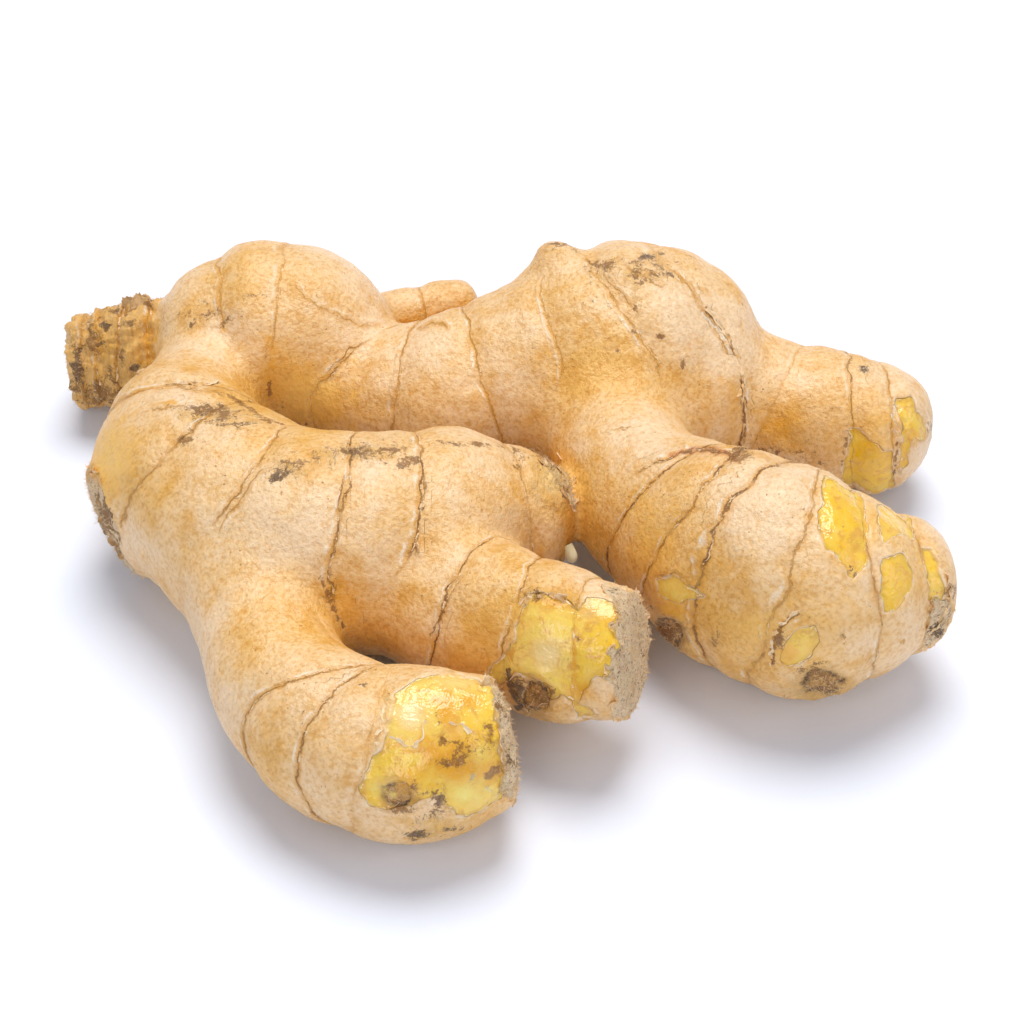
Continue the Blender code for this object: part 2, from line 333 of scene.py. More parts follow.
def pullToSkin(points, rounds=3):
    probe, stride = form["probe"] * mm, form["stride"] * mm
    for _ in range(rounds):
        here = skinDistance(points)
        rise = np.stack([(skinDistance(points + probe * axis) - here) / probe for axis in np.eye(3)], axis=1)
        step = np.clip(here / np.maximum((rise**2).sum(axis=1), 0.3), -stride, stride)
        points = points - rise * step[:, None]
    return points


# the marks on the skin, traced on the photograph in its pixels

skinMarks = {
    # bare places where the skin is rubbed off, and broken corky ones: the lobe and the corners of the outline
    "peeled": [
        ("frontFinger", [(395, 697), (391, 706), (388, 720), (385, 735), (384, 744), (378, 751), (371, 760),
            (364, 772), (361, 785), (362, 796), (370, 807), (381, 808), (395, 806), (413, 805), (428, 800),
            (436, 797), (445, 806), (456, 815), (471, 817), (484, 811), (497, 801), (507, 795), (513, 787),
            (506, 771), (500, 748), (502, 730), (494, 704), (497, 690), (488, 684), (470, 677), (450, 673),
            (430, 675), (415, 681), (402, 690)]),
        ("secondFinger", [(525, 600), (520, 615), (513, 640), (506, 653), (490, 668), (488, 680), (506, 684),
            (515, 676), (530, 679), (543, 688), (548, 700), (563, 696), (572, 700), (577, 719), (596, 720),
            (600, 714), (580, 703), (584, 689), (597, 676), (616, 678), (627, 697), (637, 686), (636, 674),
            (624, 653), (619, 626), (621, 608), (606, 598), (586, 597), (578, 608), (556, 595), (533, 593)]),
        ("rightFrontFinger", [(824, 475), (860, 487), (865, 507), (870, 540), (866, 566), (853, 581),
            (836, 556), (822, 546), (818, 528), (821, 501)]),
        ("rightFrontFinger", [(876, 491), (901, 501), (912, 520), (914, 540), (898, 536), (884, 545),
            (878, 528)]),
        ("rightFrontFinger", [(882, 556), (903, 554), (915, 571), (913, 585), (903, 601), (893, 613),
            (884, 614), (880, 596), (880, 573)]),
        ("rightFrontFinger", [(920, 546), (932, 548), (940, 567), (946, 587), (946, 601), (936, 609),
            (930, 600), (926, 579)]),
        ("rightFrontFinger", [(656, 580), (676, 575), (690, 586), (706, 597), (690, 600), (680, 604),
            (668, 600), (660, 592)]),
        ("rightFrontFinger", [(799, 628), (817, 626), (820, 642), (813, 656), (803, 664), (785, 669),
            (781, 660), (785, 644)]),
        ("rightRearFinger", [(849, 430), (860, 429), (867, 438), (875, 443), (886, 450), (893, 450),
            (894, 468), (894, 490), (878, 500), (839, 480), (846, 455), (850, 438)]),
        ("rightRearFinger", [(896, 398), (912, 396), (920, 414), (928, 427), (924, 440), (913, 438),
            (909, 450), (908, 463), (900, 473), (899, 462), (900, 452), (905, 430), (898, 418)]),
    ],
    "cork": [
        ("frontFinger", [(494, 690), (506, 688), (516, 700), (523, 740), (523, 786), (512, 800), (499, 792),
            (505, 775), (503, 745), (497, 712)]),
        ("secondFinger", [(600, 584), (622, 586), (640, 596), (653, 640), (651, 684), (640, 694), (636, 674),
            (627, 652), (621, 620), (614, 600)]),
        ("brokenEnd", [(84, 462), (96, 476), (104, 492), (114, 508), (124, 524), (132, 548), (126, 566),
            (104, 556), (88, 520)]),
        ("frontBody", [(534, 448), (558, 456), (577, 476), (586, 510), (572, 508), (560, 486), (546, 468)]),
        ("rightFrontFinger", [(934, 600), (948, 596), (952, 615), (940, 636), (922, 650), (926, 632)]),
    ],
    # how strong the yellow of the bare places is: x, y and radius in pixels, 0 for cream to 1 for deep yellow
    "yellow": [
        (375, 785, 26, 0.75), (412, 715, 26, 0.15), (458, 690, 34, 0.35), (470, 722, 22, 0.75),
        (482, 752, 18, 0.95), (440, 780, 30, 0.6), (478, 800, 26, 0.4), (495, 792, 8, 0.1),
        (525, 650, 28, 0.15), (555, 625, 30, 0.25), (600, 640, 30, 0.85), (580, 680, 22, 0.75),
        (628, 680, 14, 0.3), (545, 680, 20, 0.4), (843, 520, 34, 0.8), (895, 515, 24, 0.35),
        (895, 585, 28, 0.8), (935, 575, 26, 0.55), (680, 588, 26, 0.15), (808, 640, 18, 0.3),
        (788, 655, 12, 0.6), (870, 465, 34, 0.8), (905, 415, 18, 0.5), (905, 450, 20, 0.95),
        (920, 435, 14, 0.9),
    ],
    # places where the skin is more orange, or paler, than the rest, partly its own tone and partly painted
    # shade on lobes turned from the light and painted light on lit tops: x, y and radius in pixels, amount
    "warmthShadeAndLight": [
        (110, 350, 50, 0.6), (115, 455, 45, 0.9), (290, 390, 45, 0.8), (325, 430, 40, 0.4),
        (240, 395, 25, 0.5), (230, 290, 50, 0.35), (150, 500, 30, 0.4), (600, 360, 40, 0.35),
        (690, 380, 40, 0.25), (440, 425, 60, 0.3), (560, 330, 50, 0.15), (650, 380, 60, 0.35),
        (640, 320, 40, 0.35), (700, 400, 40, 0.1), (790, 430, 50, 0.55), (870, 410, 30, 0.45),
        (640, 540, 45, 0.75), (600, 470, 40, 0.5), (690, 620, 40, 0.4), (750, 640, 50, 0.5),
        (830, 620, 30, 0.35), (530, 500, 50, 0.4), (480, 630, 45, 0.35), (330, 760, 40, 0.3),
        (270, 760, 40, 0.4), (220, 600, 40, 0.1), (380, 590, 40, 0.15), (430, 300, 40, 0.4),
        (235, 275, 45, 0.2), (300, 300, 40, 0.2), (400, 470, 40, -0.3), (300, 520, 50, -0.35),
        (480, 450, 40, -0.4), (780, 500, 45, -0.4), (740, 500, 30, -0.3), (440, 370, 45, -0.3),
        (640, 440, 40, -0.45), (690, 300, 30, -0.3), (725, 330, 40, -0.4), (560, 590, 30, 0.2),
        (320, 690, 30, -0.2), (890, 385, 20, -0.4), (330, 300, 30, -0.1), (230, 320, 25, -0.3),
    ],
    # brown decay on each lobe: x, y, half the width and half the height in pixels, strength
    "rot": {
        "frontFinger": [
            (459, 760, 22, 15, 0.9), (444, 740, 9, 12, 0.6), (438, 700, 14, 8, 0.5), (489, 735, 7, 16, 0.6),
            (497, 770, 12, 12, 0.7), (445, 795, 8, 20, 0.5), (408, 800, 18, 9, 0.8),
        ],
        "secondFinger": [(556, 604, 26, 7, 0.45), (538, 596, 16, 6, 0.5)],
        "rightFrontFinger": [
            (669, 632, 19, 21, 1.0), (672, 608, 10, 10, 0.6), (780, 640, 7, 15, 0.6), (843, 632, 5, 8, 0.5),
            (935, 628, 9, 12, 0.6), (716, 640, 7, 8, 0.4),
        ],
    },
    # dark grey smudges of soil and old scale, in the same way
    "smudge": {
        "frontBody": [
            (350, 452, 24, 8, 1.0), (334, 464, 10, 8, 0.7), (370, 446, 26, 5, 0.6), (283, 467, 18, 9, 0.7),
            (274, 479, 8, 6, 0.8), (402, 466, 12, 5, 0.5), (522, 462, 7, 14, 0.6), (560, 500, 8, 14, 0.6),
            (466, 445, 26, 4, 0.4),
        ],
        "frontNeck": [(201, 412, 13, 8, 0.9), (232, 422, 22, 6, 0.5), (190, 420, 10, 4, 0.7)],
        "mainRhizome": [
            (196, 327, 9, 6, 0.7), (208, 305, 10, 6, 0.6), (248, 298, 16, 6, 0.5), (252, 403, 16, 14, 0.7),
            (375, 305, 8, 3, 0.6), (620, 262, 24, 8, 0.5), (607, 268, 8, 9, 0.8), (648, 258, 16, 6, 0.8),
            (668, 276, 12, 6, 0.6), (594, 300, 7, 5, 0.8), (636, 309, 5, 6, 0.8), (634, 332, 5, 3, 1.0),
            (662, 336, 5, 3, 1.0), (618, 350, 4, 3, 0.6), (683, 360, 5, 5, 0.6), (640, 285, 40, 9, 0.35),
        ],
        "rightRearFinger": [(863, 370, 8, 6, 1.0), (893, 375, 14, 6, 0.3)],
        "oldStub": [
            (105, 325, 6, 4, 1.2), (134, 369, 6, 5, 0.9), (79, 371, 7, 22, 1.0), (122, 355, 4, 8, 0.6),
            (138, 395, 7, 12, 0.6), (145, 300, 6, 4, 0.5),
        ],
        "brokenEnd": [(112, 545, 12, 10, 0.9)],
        "frontFinger": [(418, 818, 14, 8, 0.7), (424, 835, 12, 5, 0.6), (365, 812, 16, 8, 0.35)],
        "rightFrontFinger": [
            (668, 645, 22, 12, 0.7), (724, 641, 8, 6, 0.5), (790, 696, 26, 6, 0.4), (940, 615, 8, 16, 0.6),
        ],
        "secondFinger": [(528, 722, 24, 6, 0.6)],
    },
    # rough brown husk, in the same way
    "husk": {
        "oldStub": [(100, 350, 60, 70, 1.0)],
        "mainRhizome": [
            (140, 360, 14, 50, 0.7), (215, 320, 34, 16, 0.3), (640, 275, 46, 20, 0.5),
            (262, 405, 26, 14, 0.6),
        ],
        "brokenEnd": [(112, 520, 22, 42, 0.9)],
        "frontNeck": [(210, 415, 48, 14, 0.6)],
        "frontBody": [
            (352, 455, 50, 12, 0.6), (285, 470, 26, 10, 0.6), (556, 478, 30, 34, 0.9), (510, 450, 40, 8, 0.4),
        ],
        "rightFrontFinger": [(668, 640, 30, 24, 0.7), (822, 684, 34, 16, 0.9), (938, 610, 16, 34, 0.7)],
        "frontFinger": [(436, 826, 70, 14, 0.5), (505, 740, 16, 60, 0.6)],
        "secondFinger": [(548, 598, 34, 12, 0.8), (536, 720, 36, 14, 0.6)],
        "crownBud": [(563, 250, 30, 16, 0.3)],
        "rightRearFinger": [(905, 420, 12, 46, 0.4), (790, 440, 34, 40, 0.4)],
        "rearBud": [(420, 315, 30, 18, 0.4)],
    },
    # scars of old buds and roots: x, y and half sizes in pixels
    "discs": {
        "frontFinger": [(396, 794, 15, 13)],
        "secondFinger": [(535, 698, 15, 16)],
        "rightFrontFinger": [(668, 633, 15, 17), (822, 683, 21, 13)],
    },
    # spots of colour, among them painted shade, painted light and painted highlights: the tint, x, y, half
    # sizes in pixels and strength
    "dabs": {
        "frontFinger": [
            ("island", 410, 716, 20, 22, 1.0), ("island", 454, 682, 26, 9, 0.7),
            ("island", 456, 733, 11, 10, 1.0), ("amber", 438, 700, 9, 8, 1.0),
            ("amber", 470, 700, 16, 9, 0.8), ("amber", 430, 752, 16, 14, 0.8), ("amber", 474, 742, 9, 8, 0.7),
            ("umber", 455, 762, 17, 13, 0.95), ("amber", 458, 762, 34, 26, 1.2),
            ("amber", 446, 712, 12, 22, 1.0), ("umber", 466, 748, 24, 12, 0.65),
            ("amber", 488, 770, 18, 22, 1.0), ("umber", 436, 800, 14, 16, 0.7),
            ("umber", 442, 742, 7, 9, 0.9), ("umber", 496, 772, 9, 8, 1.0), ("umber", 491, 735, 6, 18, 0.8),
            ("umber", 416, 787, 9, 9, 0.9), ("umber", 400, 808, 14, 6, 0.9), ("amber", 408, 782, 20, 18, 0.7),
            # the two small pale yellow dabs at 472, 777 and 488, 791 are painted highlights, wet glints on
            # the bare flesh
            ("gloss", 472, 777, 6, 3, 0.8), ("gloss", 488, 791, 8, 4, 0.85), ("lime", 466, 797, 20, 12, 0.9),
            ("lime", 484, 752, 12, 12, 0.6), ("lime", 376, 790, 14, 16, 0.7), ("soot", 440, 800, 10, 14, 0.7),
            ("soot", 418, 834, 13, 6, 0.9), ("soot", 452, 829, 14, 4, 0.8), ("soot", 364, 685, 6, 3, 0.9),
            ("soot", 510, 762, 6, 10, 0.9), ("umber", 500, 706, 8, 12, 0.8), ("soot", 505, 694, 8, 5, 0.8),
            ("lime", 393, 794, 4, 4, 1.0), ("gold", 384, 720, 22, 40, 0.4),
        ],
        "secondFinger": [
            ("island", 545, 655, 22, 20, 0.9), ("island", 586, 612, 22, 10, 0.7),
            ("amber", 556, 603, 30, 9, 1.0), ("amber", 518, 612, 12, 16, 0.7),
            ("umber", 532, 597, 16, 6, 0.8), ("umber", 545, 694, 12, 12, 0.9),
            ("amber", 578, 690, 16, 12, 0.8), ("amber", 604, 616, 18, 12, 0.6),
            # the black dab at 518, 690 is painted shadow in the gap beside the front finger
            ("umber", 577, 640, 4, 5, 0.8), ("soot", 518, 690, 8, 14, 1.0), ("gold", 470, 640, 30, 30, 0.5),
            ("gold", 520, 630, 24, 40, 0.4),
        ],
        "rightFrontFinger": [
            ("amber", 672, 608, 15, 9, 1.1), ("umber", 660, 636, 20, 20, 0.9), ("soot", 668, 650, 14, 9, 0.9),
            ("umber", 822, 683, 18, 10, 0.8), ("soot", 822, 687, 10, 5, 1.0),
            ("umber", 822, 676, 34, 18, 0.6), ("amber", 788, 654, 12, 14, 1.0),
            ("umber", 781, 641, 6, 10, 0.8), ("umber", 716, 638, 7, 8, 0.9), ("amber", 846, 500, 20, 10, 0.5),
            ("amber", 850, 560, 14, 16, 0.7), ("umber", 853, 572, 5, 5, 0.6), ("umber", 843, 634, 5, 8, 0.6),
            ("soot", 938, 632, 8, 8, 0.9), ("umber", 950, 590, 6, 14, 0.7), ("umber", 724, 477, 3, 3, 0.7),
            ("umber", 706, 514, 3, 3, 0.6), ("umber", 766, 512, 4, 3, 0.5), ("island", 900, 500, 22, 8, 0.7),
            ("rose", 704, 457, 20, 5, 0.5), ("gold", 650, 530, 30, 50, 0.6), ("gold", 760, 630, 40, 30, 0.6),
            ("gold", 884, 520, 42, 36, 0.55), ("straw", 908, 570, 26, 40, 0.5),
            ("gold", 856, 600, 26, 30, 0.4), ("gold", 816, 652, 22, 16, 0.6), ("gold", 684, 590, 34, 20, 0.5),
        ],
        "mainShoulder": [("rose", 704, 452, 24, 5, 0.45)],
        "mainRhizome": [
            # the large gold dab at 300, 400 lies in the crease under the front neck: partly the skin's golden
            # tone, partly painted light bounced into the crease
            ("rose", 716, 440, 18, 8, 0.5), ("gold", 300, 400, 50, 34, 1.0), ("amber", 268, 404, 10, 16, 0.8),
            ("umber", 262, 408, 16, 9, 1.0), ("amber", 562, 440, 14, 40, 0.6),
            ("amber", 738, 420, 8, 18, 0.7), ("umber", 739, 394, 4, 6, 0.8), ("amber", 560, 335, 10, 8, 0.5),
            ("soot", 208, 303, 8, 4, 0.75), ("soot", 193, 325, 6, 4, 0.8), ("umber", 216, 316, 34, 10, 0.62),
            ("soot", 254, 296, 12, 3, 0.7), ("umber", 600, 268, 18, 12, 0.66),
            ("umber", 644, 270, 40, 12, 0.66), ("soot", 650, 256, 14, 4, 0.9), ("soot", 664, 274, 8, 4, 0.8),
            ("umber", 634, 332, 5, 3, 1.0), ("umber", 661, 336, 5, 3, 1.0), ("umber", 672, 318, 4, 3, 0.8),
            ("umber", 617, 351, 4, 3, 0.9), ("umber", 683, 364, 4, 6, 0.9), ("umber", 636, 309, 5, 5, 0.8),
            ("umber", 533, 346, 3, 3, 0.7), ("umber", 220, 372, 5, 4, 0.6),
        ],
        "rightRearFinger": [
            ("amber", 780, 430, 26, 20, 0.8), ("umber", 766, 452, 20, 7, 0.8),
            ("umber", 812, 462, 26, 9, 0.6), ("soot", 864, 370, 8, 4, 1.0), ("amber", 914, 436, 12, 10, 0.6),
            ("umber", 930, 430, 5, 12, 0.6), ("gold", 884, 440, 34, 44, 0.5),
        ],
        "frontNeck": [
            ("gold", 112, 455, 26, 44, 0.8), ("umber", 182, 440, 14, 6, 0.8), ("soot", 205, 410, 16, 8, 0.95),
            ("soot", 232, 424, 24, 6, 0.75), ("umber", 218, 414, 42, 13, 0.68),
            ("umber", 190, 428, 16, 8, 0.7),
        ],
        "brokenEnd": [
            ("umber", 104, 520, 16, 30, 0.9), ("amber", 92, 470, 14, 16, 0.8),
            ("umber", 112, 548, 14, 12, 1.0),
        ],
        "frontBody": [
            ("straw", 556, 475, 24, 26, 1.0), ("umber", 568, 490, 8, 10, 0.8),
            ("shade", 505, 530, 26, 32, 0.8), ("shade", 522, 512, 20, 10, 0.6),
            ("umber", 520, 462, 6, 12, 0.8), ("umber", 310, 463, 22, 7, 0.7), ("soot", 276, 479, 7, 4, 1.1),
            ("soot", 402, 464, 12, 4, 1.0), ("soot", 366, 451, 44, 9, 0.78), ("soot", 350, 452, 16, 5, 0.9),
            ("umber", 384, 448, 40, 9, 0.7), ("umber", 300, 462, 34, 10, 0.66),
            ("soot", 284, 470, 16, 8, 0.7), ("umber", 404, 462, 20, 7, 0.75), ("umber", 470, 444, 40, 4, 0.7),
            ("umber", 545, 462, 20, 12, 0.72), ("amber", 400, 590, 26, 30, 0.3),
            ("amber", 340, 600, 26, 30, 0.5), ("umber", 330, 600, 8, 24, 0.6),
            ("umber", 560, 560, 8, 20, 0.4),
        ],
        "oldStub": [
            ("soot", 104, 325, 6, 4, 1.4), ("soot", 134, 369, 6, 4, 1.2), ("soot", 78, 372, 7, 24, 1.2),
            ("umber", 122, 355, 5, 9, 1.0), ("umber", 100, 395, 30, 14, 0.9), ("umber", 142, 395, 8, 14, 1.0),
            ("amber", 100, 345, 16, 30, 0.6), ("amber", 146, 350, 10, 34, 0.7),
            ("umber", 92, 345, 10, 22, 0.7), ("umber", 118, 312, 16, 5, 0.7), ("umber", 112, 376, 8, 12, 0.7),
            ("umber", 145, 306, 8, 6, 0.9), ("umber", 126, 325, 8, 5, 0.7),
        ],
        "crownBud": [("umber", 564, 244, 22, 5, 0.7)],
        "rearBud": [("amber", 425, 322, 26, 12, 0.6)],
        "rightSide": [("umber", 740, 456, 12, 6, 1.1)],
    },
    # drawn lines of colour, among them painted shadow in crevices and gaps between lobes: the lobe, the tint,
    # the points, half the width in pixels, and strength
    "strokes": [
        ("mainRhizome", "amber", [(266, 331), (274, 353), (269, 372), (270, 413)], 4, 0.8),
        ("mainRhizome", "umber", [(271, 380), (268, 400), (264, 412)], 3, 1.0),
        ("mainRhizome", "rose", [(598, 436), (620, 430), (641, 427), (682, 452), (709, 450),
            (721, 456)], 2.6, 1.0),
        ("mainRhizome", "amber", [(226, 327), (218, 343), (221, 359), (219, 372)], 2.4, 0.8),
        ("mainRhizome", "amber", [(156, 315), (156, 342), (143, 374)], 2.4, 0.8),
        ("mainRhizome", "paper", [(698, 306), (722, 338), (736, 373)], 1.6, 0.9),
        ("mainRhizome", "umber", [(703, 304), (727, 336), (741, 372)], 2.0, 1.2),
        ("mainRhizome", "paper", [(630, 317), (647, 341), (650, 354)], 1.6, 0.7),
        ("mainRhizome", "umber", [(586, 268), (596, 262), (612, 262)], 1.4, 0.8),
        ("mainRhizome", "umber", [(590, 276), (602, 271), (616, 272)], 1.4, 0.8),
        ("mainRhizome", "umber", [(618, 268), (640, 262), (660, 260)], 1.4, 0.8),
        ("mainRhizome", "umber", [(624, 278), (648, 272), (664, 272)], 1.4, 0.7),
        ("mainRhizome", "umber", [(630, 288), (650, 282), (668, 282)], 1.2, 0.6),
        ("frontNeck", "amber", [(148, 407), (165, 404), (180, 401)], 2.0, 0.9),
        ("frontNeck", "umber", [(162, 385), (184, 382), (211, 385), (221, 380)], 1.4, 0.9),
        ("frontBody", "paper", [(526, 513), (525, 535), (526, 557)], 1.4, 0.7),
        ("frontBody", "umber", [(509, 441), (514, 455), (514, 470)], 1.4, 0.7),
        # painted shadow: the black line down the narrow gap between the front finger and the second finger,
        # on both of them
        ("secondFinger", "soot", [(505, 666), (512, 690), (522, 712)], 4, 1.4),
        ("frontFinger", "soot", [(505, 666), (512, 690), (518, 706)], 3, 1.0),
        ("frontFinger", "amber", [(384, 748), (396, 745), (408, 753), (421, 748), (431, 724)], 3, 0.9),
        ("frontFinger", "umber", [(438, 690), (437, 712), (441, 736)], 1.6, 0.8),
        ("secondFinger", "amber", [(577, 610), (574, 640), (574, 690)], 2.4, 0.9),
        ("rightFrontFinger", "umber", [(803, 610), (784, 624), (773, 640), (773, 668)], 2.0, 1.1),
        ("rightRearFinger", "umber", [(898, 436), (895, 458), (895, 481)], 2, 1.1),
        ("rightRearFinger", "paper", [(891, 390), (893, 405), (894, 421)], 1.8, 0.8),
        ("rightRearFinger", "umber", [(849, 421), (849, 436), (845, 452), (841, 474)], 1.4, 0.9),
        # painted shadow: the dark brown line in the crevice where the front neck passes in front of the main
        # rhizome, on both of them
        ("frontNeck", "umber", [(222, 392), (240, 402), (258, 414), (276, 424), (300, 430)], 3, 0.9),
        ("mainRhizome", "umber", [(236, 392), (250, 402), (264, 414), (285, 424), (312, 428)], 4, 1.0),
        ("frontBody", "umber", [(321, 572), (326, 592), (334, 612), (344, 632)], 2.6, 1.0),
        ("rightSide", "rose", [(664, 458), (682, 452), (709, 449), (724, 453), (744, 466)], 3.4, 0.8),
        ("rightSide", "umber", [(676, 454), (690, 451), (709, 449), (724, 453), (746, 466)], 1.5, 1.1),
        ("rightSide", "umber", [(741, 372), (744, 400), (744, 430), (738, 452), (724, 464)], 2.2, 1.3),
        ("rightSide", "amber", [(728, 370), (731, 400), (730, 430), (724, 452)], 13, 0.55),
    ],
    # lines that no ring plane gives: the lobe, the points, how dark, and how strong
    "lines": [
        ("mainRhizome", [(290, 280), (304, 297), (330, 311), (360, 325), (388, 326)], 0.4, 0.6),
        ("mainRhizome", [(366, 344), (350, 350), (338, 362), (327, 374)], 0.7, 0.9),
        ("mainRhizome", [(665, 262), (690, 288), (709, 318), (726, 345), (739, 378), (739, 420),
            (733, 448)], 0.35, 0.9),
        ("mainRhizome", [(415, 331), (432, 323), (446, 324), (448, 332)], 0.4, 0.8),
        ("mainRhizome", [(600, 270), (612, 285), (628, 300), (640, 318)], 0.6, 0.5),
        ("mainRhizome", [(620, 262), (640, 275), (668, 288)], 0.7, 0.5),
        ("frontNeck", [(168, 381), (186, 388), (210, 390), (228, 395)], 0.6, 0.8),
        ("frontNeck", [(150, 410), (170, 408), (188, 404)], 0.4, 0.7),
        ("frontBody", [(268, 465), (255, 480), (238, 505), (215, 535)], 0.3, 0.7),
        ("frontBody", [(350, 470), (344, 480), (340, 500), (339, 525), (335, 548)], 0.7, 0.9),
        ("frontBody", [(426, 470), (422, 500), (418, 540), (414, 560)], 0.6, 0.7),
        ("frontBody", [(470, 470), (500, 490), (530, 520), (555, 560)], 0.3, 0.3),
        ("frontBody", [(420, 560), (414, 572), (404, 580), (395, 600), (388, 618), (386, 640)], 0.9, 0.9),
        ("frontBody", [(245, 600), (262, 590), (285, 592), (310, 602)], 0.5, 0.4),
        ("rightFrontFinger", [(803, 611), (792, 618), (780, 628), (774, 640), (773, 668)], 0.9, 1.0),
        ("rightFrontFinger", [(656, 578), (675, 573), (692, 584), (708, 597)], 0.7, 0.7),
        ("rightSide", [(632, 474), (655, 463), (682, 452), (709, 449), (724, 453), (740, 464)], 1.0, 1.1),
        ("rightSide", [(741, 372), (744, 400), (744, 430), (738, 452), (722, 466)], 1.0, 1.1),
        ("secondFinger", [(466, 572), (455, 590), (443, 612), (430, 640)], 0.9, 0.9),
        ("rightRearFinger", [(745, 377), (741, 400), (735, 430), (727, 455)], 0.8, 0.7),
    ],
}

skin = {
    "voxel": 1.23,  # mm, the mesh before the lines and edges are made finer
    "fineBand": 1.1,  # mm on each side of a line or an edge
    "stepHeight": 0.46,
    "stepLength": 1.6,
    "crackDepth": 0.16,
    "crackWidth": 0.45,
    "lipHeight": 0.10,
    "lipAt": 0.45,
    "lipWidth": 0.5,
    "peelDepth": 0.22,
    "rotDepth": 0.35,
    "cutDepth": 0.5,
    "lumpSize": 9.0,
    "lumpHeight": 0.55,
    "grainSize": 2.2,
    "grainHeight": 0.18,
    "corkSize": 1.1,
    "corkHeight": 0.36,
    "lineReach": 3.2,
}


def outlineDistance(spots, corners):
    # signed distance in pixels from an outline, above 0 inside it
    corners = np.array(corners, float)
    nearest = np.full(len(spots), 1e9)
    inside = np.zeros(len(spots), bool)
    for a, b in zip(corners, np.roll(corners, -1, axis=0)):
        ab = b - a
        t = np.clip(((spots - a) @ ab) / (ab @ ab), 0, 1)
        nearest = np.minimum(nearest, np.linalg.norm(spots - a - t[:, None] * ab, axis=1))
        rises = (a[1] > spots[:, 1]) != (b[1] > spots[:, 1])
        span = b[1] - a[1] if b[1] != a[1] else 1e-9
        inside ^= rises & (spots[:, 0] < (spots[:, 1] - a[1]) / span * ab[0] + a[0])
    return np.where(inside, nearest, -nearest)


def lineDistance(spots, corners):
    # signed distance in pixels from an open line, and how far along it the nearest place is, 0 to 1
    corners = np.array(corners, float)
    lengths = np.linalg.norm(np.diff(corners, axis=0), axis=1)
    start = np.concatenate([[0], np.cumsum(lengths)])
    best = np.full(len(spots), 1e9)
    signed = np.full(len(spots), 1e9)
    way = np.zeros(len(spots))
    for k, (a, b) in enumerate(zip(corners, corners[1:])):
        ab = b - a
        raw = ((spots - a) @ ab) / (ab @ ab)
        t = np.clip(raw, 0, 1)
        off = spots - a - t[:, None] * ab
        distance = np.linalg.norm(off, axis=1)
        closer = distance < best
        best[closer] = distance[closer]
        hand = np.sign(ab[0] * off[:, 1] - ab[1] * off[:, 0])
        signed[closer] = (distance * np.where(hand == 0, 1, hand))[closer]
        way[closer] = ((start[k] + t * lengths[k]) / start[-1])[closer]
    return signed, way


